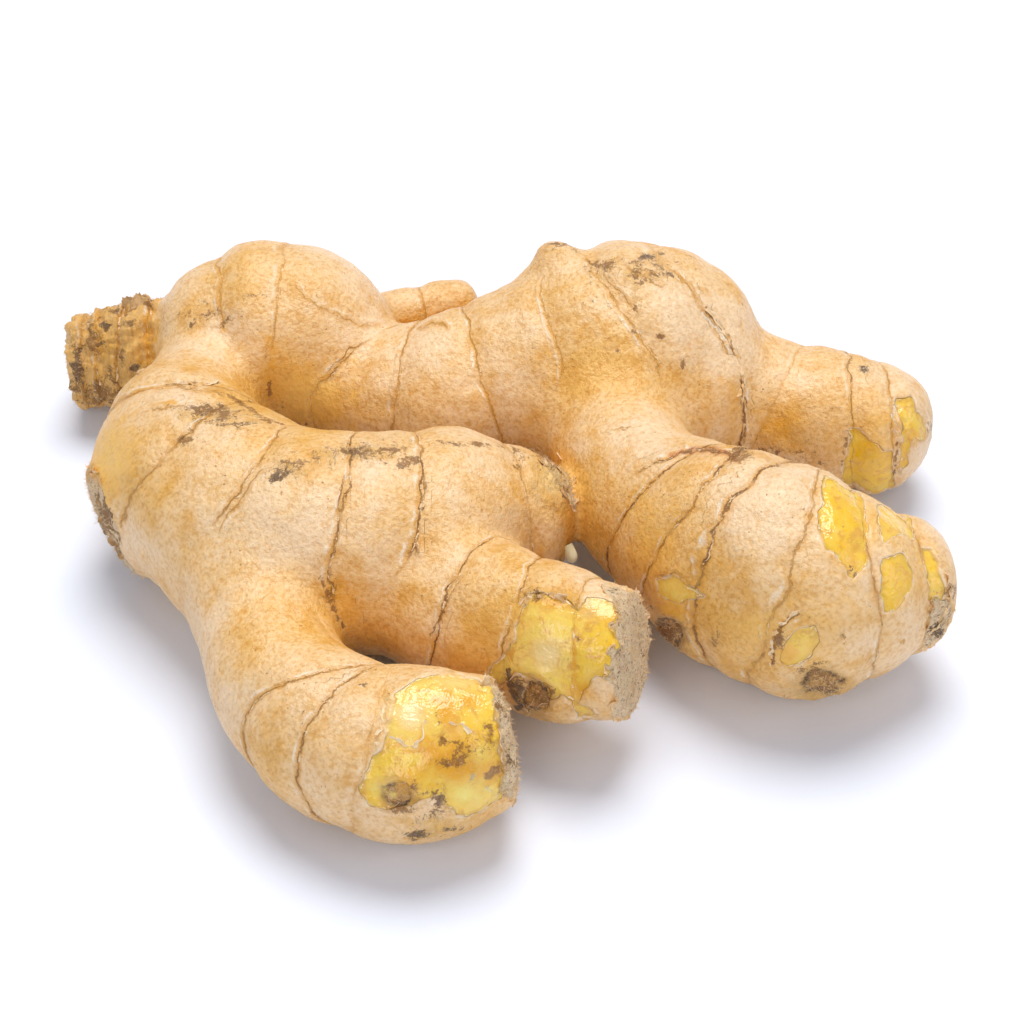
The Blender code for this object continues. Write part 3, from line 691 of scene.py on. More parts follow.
def skinFacts(points, normals):
    # everything the relief and the colours need to know about each point of the skin, lengths in mm
    count = len(points)
    distances = np.stack([lobe.distance(points) for lobe in lobes], axis=1)
    owner = distances.argmin(axis=1)
    ordered = np.sort(distances, axis=1)
    clear = smooth(0.1, 1.3, (ordered[:, 1] - ordered[:, 0]) / mm)
    zeros = ("ringNear", "ringDark", "lineNear", "lineDark", "warmthShadeAndLight", "smudge", "rot", "husk")
    facts = {key: np.zeros(count) for key in zeros}
    facts.update(ring=np.full(count, 9.0), line=np.full(count, 9.0), peel=np.full(count, -4.0))
    facts.update(cork=np.full(count, -4.0), scar=np.full(count, 3.0), clear=clear)
    facts["hollow"] = hollowness(points, normals)
    grain = np.zeros((count, 3))
    spots = pixelsOf(points)
    facing = -((normals * unit(points - eye)).sum(axis=1))
    hidden = 14 * smooth(0.30, 0.0, facing)  # pixels that an outline draws in by where the skin turns away
    for index, lobe in enumerate(lobes):
        mine = owner == index
        if not mine.any():
            continue
        here = points[mine]
        place, past, sideways, upwards, halfWidth, halfHeight, room = lobe.local(here)
        grain[mine] = np.stack([place + past, sideways, upwards], axis=1) / mm
        rings = lobe.ringOffsets(here, place + past, sideways, upwards)
        if rings:
            offs = np.stack([off for off, _, _ in rings] + [np.full(len(here), 0.02)], axis=1) / mm
            order = np.argsort(np.abs(offs), axis=1)
            rows = np.arange(len(here))
            off = offs[rows, order[:, 0]]
            clearance = (np.abs(offs[rows, order[:, 1]]) - np.abs(off)) / 2
            tones = np.array([dark for _, dark, _ in rings] + [0])[order[:, 0]]
            strengths = np.array([strength for _, _, strength in rings] + [0])[order[:, 0]]
            near = strengths * (1 - smooth(2.0, skin["lineReach"], np.abs(off))) * smooth(0.1, 0.9, clearance)
            facts["ring"][mine] = off
            facts["ringNear"][mine] = near * smooth(0.35, 0.8, room) * clear[mine]
            facts["ringDark"][mine] = tones
        if lobe.cut:
            end, edge = lobe.cut
            beyond = (past if end == "last" else -past) / mm
            beyond = beyond - edge + 0.6 * wander(here, 5, 21) + 0.3 * wander(here, 1.8, 22)
            at = place / mm if end == "last" else (lobe.arc[-1] - place) / mm
            beyond = np.where(at > lobe.arc[-1] / mm - 3, beyond, -4)
            facts["cork"][mine] = np.maximum(facts["cork"][mine], np.clip(beyond, -4, 4))
    names = [lobe.name for lobe in lobes]
    for key, outlines in (("peel", skinMarks["peeled"]), ("cork", skinMarks["cork"])):
        for lobeName, corners in outlines:
            mine = (owner == names.index(lobeName)) & (facing > -0.4)
            inward = (outlineDistance(spots[mine], corners) - hidden[mine]) / pixelsPerMm
            inward += 0.22 * wander(points[mine], 3.6, 31) + 0.07 * wander(points[mine], 1.5, 32)
            facts[key][mine] = np.maximum(facts[key][mine], np.clip(inward, -4, 4))
    weight = np.full(count, 0.15)
    tone = np.full(count, 0.15 * 0.45)
    for x, y, radius, amount in skinMarks["yellow"]:
        pull = np.exp(-((np.linalg.norm(spots - (x, y), axis=1) / radius) ** 2) * 1.5)
        weight += pull
        tone += pull * amount
    facts["yellow"] = tone / weight
    for key in ("rot", "smudge", "husk"):
        for lobeName, marks in skinMarks[key].items():
            mine = (owner == names.index(lobeName)) & (facing > -0.2)
            for x, y, wide, high, strength in marks:
                off = np.hypot(*((spots[mine] - (x, y)) / (wide, high)).T)
                facts[key][mine] = np.maximum(facts[key][mine], strength * np.exp(-(off**2) * 0.9))
    stub = owner == names.index("oldStub")
    facts["husk"][stub] = np.maximum(facts["husk"][stub], 0.75 * clear[stub])
    # the skin's own tone mixed with painted shade and painted light, on skin that faces the camera
    for x, y, radius, amount in skinMarks["warmthShadeAndLight"]:
        pull = np.exp(-((np.linalg.norm(spots - (x, y), axis=1) / radius) ** 2))
        facts["warmthShadeAndLight"] += pull * amount * smooth(-0.2, 0.3, facing)
    for lobeName, marks in skinMarks["discs"].items():
        mine = (owner == names.index(lobeName)) & (facing > 0)
        for x, y, wide, high in marks:
            off = np.hypot(*((spots[mine] - (x, y)) / (wide, high)).T)
            off = off + 0.13 * wander(points[mine], 5, 23) + 0.06 * wander(points[mine], 1.7, 24)
            facts["scar"][mine] = np.minimum(facts["scar"][mine], off)
    paint(facts, points, spots, facing, owner, names)
    unseen = smooth(0.15, -0.25, facing)  # the far side, where the photograph gives no mark
    facts["warmthShadeAndLight"] += unseen * (0.10 + 0.30 * wander(points, 20, 95))
    facts["smudge"] = np.maximum(facts["smudge"], 0.8 * unseen * smooth(0.8, 1.7, wander(points, 8, 96)))
    facts["husk"] = np.maximum(facts["husk"], 0.3 * unseen * smooth(0.9, 1.8, wander(points, 13, 97)))
    for lobeName, corners, dark, strength in skinMarks["lines"]:
        mine = onLobe(owner, names, lobeName) & (facing > 0)
        signed, way = lineDistance(spots[mine], corners)
        signed /= pixelsPerMm
        signed += 0.25 * wander(points[mine], 3.5, 41) + 0.12 * wander(points[mine], 1.2, 42)
        near = strength * (1 - smooth(1.2, 2.4, np.abs(signed))) * smooth(0, 0.12, way) * smooth(1, 0.88, way)
        over = near > facts["lineNear"][mine]
        for key, value in (("line", signed), ("lineNear", near), ("lineDark", np.full(len(near), dark))):
            old = facts[key][mine]
            old[over] = value[over]
            facts[key][mine] = old
    facts["ring"] = np.clip(facts["ring"], -9, 9)
    facts["line"] = np.clip(facts["line"], -9, 9)
    facts["grain"] = grain
    facts["owner"] = owner
    return facts


softTints = {
    "island": (0.94, 0.76, 0.40),
    "amber": (0.80, 0.38, 0.025),
    "gold": (0.96, 0.60, 0.15),
    "lime": (0.94, 0.80, 0.20),
    "rose": (0.58, 0.20, 0.07),
    "straw": (0.86, 0.60, 0.24),
    "shade": (0.66, 0.44, 0.24),
}
sharpTints = {
    "umber": (0.29, 0.110, 0.012),
    # the near black is soil and old scale, and also painted shadow in a narrow gap between two fingers
    "soot": (0.075, 0.040, 0.022),
    # the pale yellow is a painted highlight: wet glints on the bare flesh
    "gloss": (0.97, 0.88, 0.48),
    "paper": (0.95, 0.82, 0.62),
}


def onLobe(owner, names, lobeName):
    # the right part of the root: the main rhizome, its shoulder and the two fingers that grow from it
    if lobeName == "rightSide":
        right = ("mainRhizome", "mainShoulder", "rightFrontFinger", "rightRearFinger")
        return np.isin(owner, [names.index(name) for name in right])
    return owner == names.index(lobeName)


def paint(facts, points, spots, facing, owner, names):
    # the dabs and strokes: for the soft and for the sharp tints, a colour and an amount at each point
    layers = {}
    for kind, tints in (("stain", softTints), ("fleck", sharpTints)):
        colour = np.zeros((len(points), 3)) + list(tints.values())[1]
        amount = np.zeros(len(points))
        groups = skinMarks["dabs"].items()
        dabs = [(lobeName, *dab) for lobeName, group in groups for dab in group if dab[0] in tints]
        for lobeName, tint, x, y, wide, high, strength in dabs:
            close = (np.abs(spots - (x, y)) < (3 * wide, 3 * high)).all(axis=1)
            mine = np.flatnonzero(onLobe(owner, names, lobeName) & (facing > 0) & close)
            off = np.hypot(*((spots[mine] - (x, y)) / (wide, high)).T)
            off = off * (1 + 0.22 * wander(points[mine], 4, 83) + 0.12 * wander(points[mine], 1.6, 84))
            cover = strength * np.exp(-(off**2) * 0.8)
            share = np.clip(cover, 0, 1)[:, None]
            colour[mine] = colour[mine] * (1 - share) + np.array(tints[tint]) * share
            amount[mine] = np.maximum(amount[mine], cover)
        for lobeName, tint, corners, half, strength in skinMarks["strokes"]:
            if tint not in tints:
                continue
            mine = np.flatnonzero(onLobe(owner, names, lobeName) & (facing > 0))
            signed, way = lineDistance(spots[mine], corners)
            signed = signed + 1.1 * wander(points[mine], 3.5, 81) + 0.6 * wander(points[mine], 1.2, 82)
            cover = strength * bump(signed, half) * smooth(0, 0.1, way) * smooth(1, 0.9, way)
            share = np.clip(cover * 1.5, 0, 1)[:, None]
            colour[mine] = colour[mine] * (1 - share) + np.array(tints[tint]) * share
            amount[mine] = np.maximum(amount[mine], cover)
        layers[kind] = (colour, amount)
    for kind, (colour, amount) in layers.items():
        facts[kind + "Colour"] = colour
        facts[kind] = amount


def hollowness(points, normals):
    # how much painted shade a crease gets: 0 on open skin, towards 1 in a crease, from how close other skin
    # is straight out from each point
    closed = np.zeros(len(points))
    for height, share in ((2.5, 0.5), (6.5, 0.5)):
        closed += share * (1 - skinDistance(points + normals * height * mm) / (height * mm))
    return np.clip(closed * 1.6, 0, 1)


def scaleProfile(off, near, points, seed):
    # an old scale's edge: the skin swells up to the line, drops over it, and a narrow crack runs at its foot
    patchy = np.clip(0.6 + 0.45 * wander(points, 6, seed), 0.1, 1)
    swell = skin["stepHeight"] * np.exp(np.minimum(off, 0) / skin["stepLength"]) * smooth(0.45, -0.3, off)
    crack = -skin["crackDepth"] * bump(off - 0.1, skin["crackWidth"])
    lip = skin["lipHeight"] * bump(off + skin["lipAt"], skin["lipWidth"])
    return near * patchy * (swell + crack + lip * np.clip(0.4 + 0.8 * wander(points, 2.5, seed + 1), 0, 1.2))


def fineRelief(points, facts):
    # the heights in mm that the solid leaves out: scale edges, bare places, broken ends, scars, husk
    height = scaleProfile(facts["ring"], facts["ringNear"], points, 51)
    height += 0.7 * scaleProfile(facts["line"], facts["lineNear"], points, 61)
    height -= skin["peelDepth"] * smooth(-0.4, 0.5, facts["peel"])
    height += 0.07 * bump(facts["peel"] + 0.5, 0.45)
    height -= skin["rotDepth"] * facts["rot"] ** 2 * (0.6 + 0.4 * wander(points, 1.8, 54))
    inCork = smooth(-0.1, 0.5, facts["cork"])
    height -= skin["cutDepth"] * inCork * smooth(0, 2.5, facts["cork"]) * (0.7 + 0.3 * wander(points, 4, 55))
    height += facts["husk"] * (0.30 * wander(points, 4.5, 56) + 0.20 * wander(points, 1.7, 57))
    onStub = (facts["owner"] == [lobe.name for lobe in lobes].index("oldStub")) * facts["clear"]
    height += onStub * (0.45 * wander(points, 6, 58) + 0.25 * wander(points, 2.4, 59))
    ridge = 0.5 * bump(facts["ring"] + 0.9, 0.7) - 0.4 * bump(facts["ring"] - 0.5, 0.6)
    height += onStub * facts["ringNear"] * ridge
    scar = facts["scar"]
    height -= 0.6 * bump(scar - 0.82, 0.2) * np.clip(0.7 + 0.4 * wander(points, 4, 58), 0.1, 1.2)
    height += (0.35 + 0.25 * wander(points, 1.6, 59)) * bump(scar, 0.5)
    height += 0.18 * bump(scar - 1.25, 0.16)
    return height


def meshFrom(source, name, modifiers, tree=None, values=None):
    # the mesh after a node tree and the named modifiers, as a new plain one
    thing = bpy.data.objects.new(name, source)
    bpy.context.scene.collection.objects.link(thing)
    if tree:
        modifier = thing.modifiers.new(tree.name, "NODES")
        modifier.node_group = tree
        for item in tree.interface.items_tree:
            if item.in_out == "INPUT" and item.name in values:
                modifier[item.identifier] = values[item.name]
    for kind, settings in modifiers:
        modifier = thing.modifiers.new(kind, kind)
        for key, value in settings.items():
            setattr(modifier, key, value)
    graph = bpy.context.evaluated_depsgraph_get()
    result = bpy.data.meshes.new_from_object(thing.evaluated_get(graph))
    bpy.data.objects.remove(thing, do_unlink=True)
    return result


def vertexArray(mesh, what="co"):
    flat = np.empty(len(mesh.vertices) * 3, np.float32)
    if what == "co":
        mesh.vertices.foreach_get("co", flat)
    else:
        mesh.vertex_normals.foreach_get("vector", flat)
    return flat.reshape(-1, 3).astype(float)


def setVertices(mesh, points):
    mesh.vertices.foreach_set("co", points.astype(np.float32).ravel())
    mesh.update()


def wantsFiner(facts):
    band = skin["fineBand"]
    wanted = (np.abs(facts["ring"]) < band) & (facts["ringNear"] > 0.25)
    wanted |= (np.abs(facts["line"]) < band) & (facts["lineNear"] > 0.25)
    wanted |= np.abs(facts["peel"]) < 0.7 * band
    wanted |= facts["husk"] > 0.55
    wanted |= facts["cork"] > -0.5
    wanted |= facts["scar"] < 1.7
    wanted |= facts["rot"] > 0.45
    wanted |= facts["fleck"] > 0.6
    return wanted


def skinMesh():
    cad = bmesh.new()
    cad.from_mesh(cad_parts["ginger_root"].data)
    bmesh.ops.remove_doubles(cad, verts=cad.verts[:], dist=1e-6)
    merged = bpy.data.meshes.new("mergedSolid")
    cad.to_mesh(merged)
    cad.free()
    mesh = meshFrom(merged, "working", [("REMESH", {"mode": "VOXEL", "voxel_size": skin["voxel"] * mm})])
    setVertices(mesh, pullToSkin(vertexArray(mesh), 2))
    print("skin: coarse mesh has", len(mesh.polygons), "faces")
    middles = np.empty(len(mesh.polygons) * 3, np.float32)
    mesh.polygons.foreach_get("center", middles)
    outwards = np.empty(len(mesh.polygons) * 3, np.float32)
    mesh.polygons.foreach_get("normal", outwards)
    finer = wantsFiner(skinFacts(middles.reshape(-1, 3).astype(float), outwards.reshape(-1, 3).astype(float)))
    body = bmesh.new()
    body.from_mesh(mesh)
    body.faces.ensure_lookup_table()
    edges = {edge for index in np.flatnonzero(finer) for edge in body.faces[index].edges}
    bmesh.ops.subdivide_edges(body, edges=list(edges), cuts=1, use_grid_fill=True)
    bmesh.ops.triangulate(body, faces=body.faces[:])
    body.to_mesh(mesh)
    body.free()
    points = pullToSkin(vertexArray(mesh), 2)
    points[:, 2] = np.maximum(points[:, 2], 0)
    setVertices(mesh, points)
    mesh.shade_smooth()
    print("skin: refined mesh has", len(mesh.polygons), "triangles")
    return mesh


def addValue(mesh, name, values, kind="FLOAT"):
    attribute = mesh.attributes.new(name, kind, "POINT")
    key = "vector" if kind == "FLOAT_VECTOR" else "value"
    attribute.data.foreach_set(key, values.astype(np.float32).ravel())


skinBase = skinMesh()
skinPoints = vertexArray(skinBase)
skinNormals = vertexArray(skinBase, "normal")
skinState = skinFacts(skinPoints, skinNormals)
for key, values in skinState.items():
    if key != "owner":
        addValue(skinBase, key, values, "FLOAT_VECTOR" if values.ndim == 2 else "FLOAT")
addValue(skinBase, "relief", fineRelief(skinPoints, skinState))
print("skin: marks placed")


# node trees

class Nodes:
    def __init__(self, tree):
        self.tree = tree

    def add(self, kind, settings=None, inputs=None):
        node = self.tree.nodes.new(kind)
        for name, value in (settings or {}).items():
            setattr(node, name, value)
        for key, value in (inputs or {}).items():
            self.feed(value, node.inputs[key])
        return node

    def feed(self, value, socket):
        if isinstance(value, bpy.types.NodeSocket):
            self.tree.links.new(value, socket)
        else:
            socket.default_value = value

    def calc(self, operation, first, second=0.0, clamp=False):
        node = self.add("ShaderNodeMath", {"operation": operation, "use_clamp": clamp}, {0: first, 1: second})
        return node.outputs[0]

    def place(self):
        # the point's own place in mm, for textures in geometry trees
        return self.vector("SCALE", self.add("GeometryNodeInputPosition").outputs[0], scale=1000.0)

    def named(self, name, kind="FLOAT"):
        return self.add("GeometryNodeInputNamedAttribute", {"data_type": kind}, {"Name": name}).outputs[0]

    def xyz(self, x=0.0, y=0.0, z=0.0):
        return self.add("ShaderNodeCombineXYZ", None, {0: x, 1: y, 2: z}).outputs[0]

    def moved(self, geometry, offset, **more):
        node = self.add("GeometryNodeSetPosition", None, {"Geometry": geometry, "Offset": offset, **more})
        return node.outputs[0]

    def grainNoise(self, vector, size, detail):
        # the plain value and the colour of a noise whose size is an input of the tree
        scale = self.calc("DIVIDE", 1.0, size)
        node = self.add("ShaderNodeTexNoise", None, {"Vector": vector, "Scale": scale, "Detail": detail})
        return node.outputs

    def times(self, first, second):
        return self.calc("MULTIPLY", first, second)

    def plus(self, first, second, clamp=False):
        return self.calc("ADD", first, second, clamp=clamp)

    def minus(self, first, second):
        return self.calc("SUBTRACT", first, second)

    def vector(self, operation, first, second=(0, 0, 0), scale=1.0):
        node = self.add("ShaderNodeVectorMath", {"operation": operation}, {0: first, 1: second})
        if operation == "SCALE":
            self.feed(scale, node.inputs["Scale"])
        return node.outputs["Value" if operation in ("LENGTH", "DOT_PRODUCT") else "Vector"]

    def rise(self, value, low, high, start=0.0, end=1.0):
        node = self.add("ShaderNodeMapRange", {"interpolation_type": "SMOOTHSTEP"}, {
            "Value": value, "From Min": low, "From Max": high, "To Min": start, "To Max": end,
        })
        return node.outputs["Result"]

    def blend(self, factor, first, second, mode="MIX"):
        kinds = {"data_type": "RGBA", "blend_type": mode}
        return self.add("ShaderNodeMix", kinds, {0: factor, 6: first, 7: second}).outputs[2]

    def noise(self, vector, size, detail=3.0, roughness=0.55, distortion=0.0):
        node = self.add("ShaderNodeTexNoise", None, {
            "Vector": vector, "Scale": 1 / size, "Detail": detail, "Roughness": roughness,
            "Distortion": distortion,
        })
        return node.outputs[0]


def newGeometryTree(name, inputs):
    tree = bpy.data.node_groups.new(name, "GeometryNodeTree")
    tree.interface.new_socket("Geometry", in_out="INPUT", socket_type="NodeSocketGeometry")
    for label, (kind, value) in inputs.items():
        socket = tree.interface.new_socket(label, in_out="INPUT", socket_type="NodeSocket" + kind)
        if value is not None:
            socket.default_value = value
    tree.interface.new_socket("Geometry", in_out="OUTPUT", socket_type="NodeSocketGeometry")
    nodes = Nodes(tree)
    return nodes, tree.nodes.new("NodeGroupInput"), tree.nodes.new("NodeGroupOutput")


def closeTree(nodes, geometry, start, end):
    real = nodes.add("GeometryNodeRealizeInstances", None, {"Geometry": geometry}).outputs[0]
    asked = start.outputs["Material"]
    painted = nodes.add("GeometryNodeSetMaterial", None, {"Geometry": real, "Material": asked})
    nodes.tree.links.new(painted.outputs[0], end.inputs[0])
    return nodes.tree


def grow(mesh, name, tree, values, after=()):
    result = meshFrom(mesh, name, after, tree, values)
    result.name = name
    return result


def addPiece(mesh, name, replaced=None):
    piece = bpy.data.objects.new(name, mesh)
    bpy.context.scene.collection.objects.link(piece)
    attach(piece, "root")
    if replaced:
        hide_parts(replaced)
    print("piece:", name, "has", len(mesh.polygons), "faces")


# the finish of the skin

finish = {
    "cream": (0.89, 0.635, 0.375, 1),
    "tan": (0.82, 0.465, 0.115, 1),
    "orange": (0.70, 0.33, 0.045, 1),
    "brown": (0.28, 0.11, 0.025, 1),
    "dark": (0.065, 0.032, 0.015, 1),
    "grey": (0.15, 0.105, 0.085, 1),
    "paper": (0.95, 0.80, 0.60, 1),
    "fleshPale": (0.92, 0.70, 0.19, 1),
    "fleshDeep": (0.90, 0.53, 0.004, 1),
    "fleshEdge": (0.66, 0.36, 0.04, 1),
    "veil": (0.94, 0.79, 0.34, 1),
    "rot": (0.40, 0.18, 0.025, 1),
    "corkPale": (0.98, 0.74, 0.46, 1),
    "corkDark": (0.22, 0.12, 0.055, 1),
    "husk": (0.62, 0.36, 0.12, 1),
    # crease: painted shade, the orange of skin deep in a crease, in shadow and lit by light bounced off the
    # skin
    "crease": (0.86, 0.47, 0.10, 1),
}


def gingerSkin():
    material = bpy.data.materials.new("gingerSkin")
    material.use_nodes = True
    tree = material.node_tree
    tree.nodes.clear()
    n = Nodes(tree)
    output = n.add("ShaderNodeOutputMaterial")
    shader = n.add("ShaderNodeBsdfPrincipled", None, {
        "Specular IOR Level": 0.58, "Subsurface Scale": 0.0013, "Subsurface Radius": (1.0, 0.5, 0.2),
    })
    n.tree.links.new(shader.outputs[0], output.inputs["Surface"])

    def value(name):
        return n.add("ShaderNodeAttribute", {"attribute_name": name}).outputs["Fac"]

    place = n.vector("SCALE", n.add("ShaderNodeTexCoord").outputs["Object"], scale=1000.0)
    grain = n.add("ShaderNodeAttribute", {"attribute_name": "grain"}).outputs["Vector"]
    ringGrain = n.vector("MULTIPLY", grain, (1.0, 0.22, 0.22))
    lineDark = n.times(value("lineDark"), n.rise(value("lineNear"), 0.0, 0.2))
    ringDark = n.calc("MAXIMUM", value("ringDark"), lineDark)
    peel, cork, rot, smudge, scar = value("peel"), value("cork"), value("rot"), value("smudge"), value("scar")
    husk, hollow, warmthShadeAndLight = value("husk"), value("hollow"), value("warmthShadeAndLight")

    # the skin between the rings: cream to tan in soft patches, orange in the low places, painted shade in the
    # creases, fine mottling
    broad = n.noise(place, 22, 3, 0.5)
    middle = n.noise(place, 6.5, 5, 0.62)
    fine = n.noise(place, 1.3, 6, 0.68)
    leather = n.noise(place, 0.85, 3, 0.5, 0.15)
    crease = n.noise(place, 0.38, 2, 0.5, 0.3)
    tanness = n.plus(n.times(n.minus(broad, 0.5), 2.0), n.plus(warmthShadeAndLight, 0.28))
    tanness = n.plus(tanness, n.times(n.minus(middle, 0.5), 1.5))
    # painted shade: the skin turns more tan where other skin closes in over a crease
    tanness = n.plus(tanness, n.times(hollow, 0.35), clamp=True)
    colour = n.blend(tanness, finish["cream"], finish["tan"])
    blush = n.times(n.rise(middle, 0.48, 0.70), n.plus(n.times(tanness, 0.55), 0.12))
    colour = n.blend(blush, colour, finish["orange"])
    # painted shade: deep in a crease the colour goes to the bright crease orange that shadow and bounced
    # light give there
    colour = n.blend(n.times(n.rise(hollow, 0.35, 1.0), 0.85), colour, finish["crease"])
    pits = n.times(n.rise(leather, 0.52, 0.36), n.plus(n.times(tanness, 0.5), 0.12))
    colour = n.blend(n.plus(pits, n.rise(leather, 0.50, 0.34, 0.0, 0.08)), colour, finish["orange"])
    shade = n.plus(n.times(fine, 0.40), n.times(leather, 0.28))
    ramps = {0: (0.70, 0.765), 1: (1.0, 0.66), 2: (1.45, 0.51)}  # the darker specks are warmer too
    ramps = {channel: n.plus(n.times(shade, gain), start) for channel, (gain, start) in ramps.items()}
    speckled = n.add("ShaderNodeCombineColor", None, ramps).outputs[0]
    colour = n.blend(1.0, colour, speckled, "MULTIPLY")
    freckle = n.rise(n.noise(place, 0.75, 2, 0.5), 0.67, 0.76)
    freckle = n.times(freckle, n.rise(n.noise(place, 11, 3, 0.6), 0.40, 0.64, 0.08, 0.85))
    colour = n.blend(freckle, colour, finish["brown"])

    # brown husk in streaks along the rings
    streak = n.noise(ringGrain, 0.9, 5, 0.7, 0.6)
    huskAt = n.plus(husk, n.times(n.minus(n.noise(place, 4, 5, 0.65), 0.5), 1.6))
    huskAt = n.times(n.rise(huskAt, 0.15, 0.85), n.times(n.rise(husk, 0.04, 0.4), value("clear")))
    huskColour = n.blend(n.rise(streak, 0.30, 0.56), finish["husk"], finish["tan"])
    huskColour = n.blend(n.rise(streak, 0.41, 0.29, 0.0, 0.6), huskColour, finish["brown"])
    colour = n.blend(n.times(huskAt, 0.85), colour, huskColour)

    # the ring lines: an orange halo, a ragged thin crack, and a pale papery edge beside it
    ragged = n.times(n.minus(n.noise(place, 1.0, 4, 0.65), 0.5), 1.1)
    patchy = n.rise(n.noise(place, 4.5, 3, 0.6), 0.34, 0.56, 0.3, 1.0)
    paperPatch = n.rise(n.noise(place, 4, 3, 0.6), 0.45, 0.62, 0.0, 0.8)

    def lineMasks(distance, near):
        at = n.plus(distance, ragged)
        away = n.calc("ABSOLUTE", at)
        halo = n.times(n.rise(away, 0.05, 1.0, 1.0, 0.0), near)
        edge = n.times(n.rise(n.calc("ABSOLUTE", n.plus(at, 0.75)), 0.0, 0.45, 1.0, 0.0), near)
        core = n.times(n.rise(n.calc("ABSOLUTE", n.minus(at, 0.1)), 0.03, 0.24, 1.0, 0.0), near)
        return halo, edge, core

    masks = [n.calc("MAXIMUM", *pair) for pair in zip(
        lineMasks(value("ring"), value("ringNear")), lineMasks(value("line"), value("lineNear")))]
    halo = n.times(masks[0], n.rise(n.noise(place, 6, 3, 0.6), 0.38, 0.62, 0.3, 0.9))
    colour = n.blend(halo, colour, finish["orange"])
    colour = n.blend(n.times(masks[1], paperPatch), colour, finish["paper"])
    core = n.times(masks[2], patchy)
    lineColour = n.blend(n.rise(ringDark, 0.35, 1.0), finish["orange"], finish["brown"])
    darkest = n.times(n.rise(ringDark, 0.7, 1.1), n.rise(middle, 0.5, 0.65))
    lineColour = n.blend(darkest, lineColour, finish["dark"])
    colour = n.blend(core, colour, lineColour)

    # soil and old scale, in specks and threads
    dirt = n.noise(ringGrain, 0.7, 6, 0.78, 1.2)
    dirt = n.plus(n.times(smudge, 0.55), n.times(n.minus(dirt, 0.5), 2.6))
    dirt = n.times(n.rise(dirt, 0.42, 0.62), n.times(n.rise(smudge, 0.03, 0.4), value("clear")))
    colour = n.blend(n.times(dirt, 0.85), colour, finish["grey"])

    # bare flesh with a torn edge
    tear = n.plus(peel, n.times(n.minus(n.noise(place, 1.4, 4, 0.6), 0.5), 0.55))
    tear = n.plus(tear, n.times(n.minus(n.noise(place, 5.5, 2, 0.5), 0.5), 1.0))
    bare = n.rise(tear, -0.10, n.rise(n.noise(place, 7, 2, 0.5), 0.46, 0.6, 0.10, 0.8))
    strength = n.times(n.minus(n.noise(place, 4.5, 4, 0.6), 0.5), 1.3)
    strength = n.plus(value("yellow"), strength, clamp=True)
    flesh = n.blend(strength, finish["fleshPale"], finish["fleshDeep"])
    veil = n.times(n.rise(n.noise(place, 3.4, 4, 0.6, 0.5), 0.54, 0.68), 0.25)
    flesh = n.blend(veil, flesh, finish["veil"])
    stain = n.times(n.rise(n.noise(place, 3.4, 5, 0.68, 0.9), 0.50, 0.66), 0.75)
    flesh = n.blend(stain, flesh, finish["orange"])
    flesh = n.blend(n.rise(tear, 1.3, 0.1, 0.0, 0.5), flesh, finish["fleshEdge"])
    colour = n.blend(bare, colour, flesh)
    torn = n.calc("ABSOLUTE", n.plus(tear, 0.05))
    torn = n.times(n.rise(torn, 0.04, 0.34, 1.0, 0.0), n.rise(n.noise(place, 2.2, 3, 0.6), 0.36, 0.54))
    tornColour = n.blend(n.rise(n.noise(place, 4, 2, 0.5), 0.50, 0.62), finish["paper"], finish["husk"])
    colour = n.blend(n.times(torn, 0.6), colour, tornColour)

    # decay
    decay = n.plus(rot, n.times(n.minus(n.noise(place, 1.9, 6, 0.7, 0.8), 0.5), 2.2))
    softRot = n.times(n.rise(decay, 0.2, 0.8), n.rise(rot, 0.03, 0.3, 0.0, 0.85))
    colour = n.blend(softRot, colour, finish["rot"])
    deepRot = n.times(n.rise(decay, 0.75, 1.2), n.rise(rot, 0.1, 0.5, 0.0, 0.9))
    colour = n.blend(deepRot, colour, finish["dark"])

    # cut and broken ends, with dark and pale fibres
    inCork = n.rise(n.plus(cork, n.times(n.minus(fine, 0.5), 2.2)), -0.2, 0.3)
    fibre = n.noise(place, 1.1, 6, 0.78, 1.6)
    corkColour = n.blend(n.rise(fibre, 0.35, 0.48), finish["brown"], finish["corkPale"])
    brownPatch = n.rise(n.noise(place, 2.2, 4, 0.66, 0.6), 0.52, 0.66, 0.0, 0.6)
    corkColour = n.blend(brownPatch, corkColour, finish["husk"])
    darkSpeck = n.rise(n.noise(place, 1.2, 3, 0.6), 0.60, 0.68, 0.0, 0.85)
    corkColour = n.blend(darkSpeck, corkColour, finish["corkDark"])
    colour = n.blend(inCork, colour, corkColour)

    # scars: a dark groove round a fibrous middle
    scarEdge = n.plus(scar, n.times(n.minus(n.noise(place, 1.8, 5, 0.65), 0.5), 0.8))
    scarColour = n.blend(n.rise(fibre, 0.42, 0.58), finish["brown"], finish["husk"])
    scarColour = n.blend(n.rise(fibre, 0.58, 0.68), scarColour, finish["tan"])
    colour = n.blend(n.rise(scarEdge, 0.75, 1.0, 0.9, 0.0), colour, scarColour)
    groove = n.rise(n.calc("ABSOLUTE", n.minus(scarEdge, 0.85)), 0.02, 0.24, 1.0, 0.0)
    groove = n.times(groove, n.rise(n.noise(place, 3, 3, 0.6), 0.34, 0.56, 0.25, 0.95))
    colour = n.blend(groove, colour, finish["dark"])
    circle = n.rise(scarEdge, 1.0, 1.7, 0.6, 0.0)
    colour = n.blend(n.times(circle, n.rise(scarEdge, 0.8, 0.95)), colour, finish["husk"])
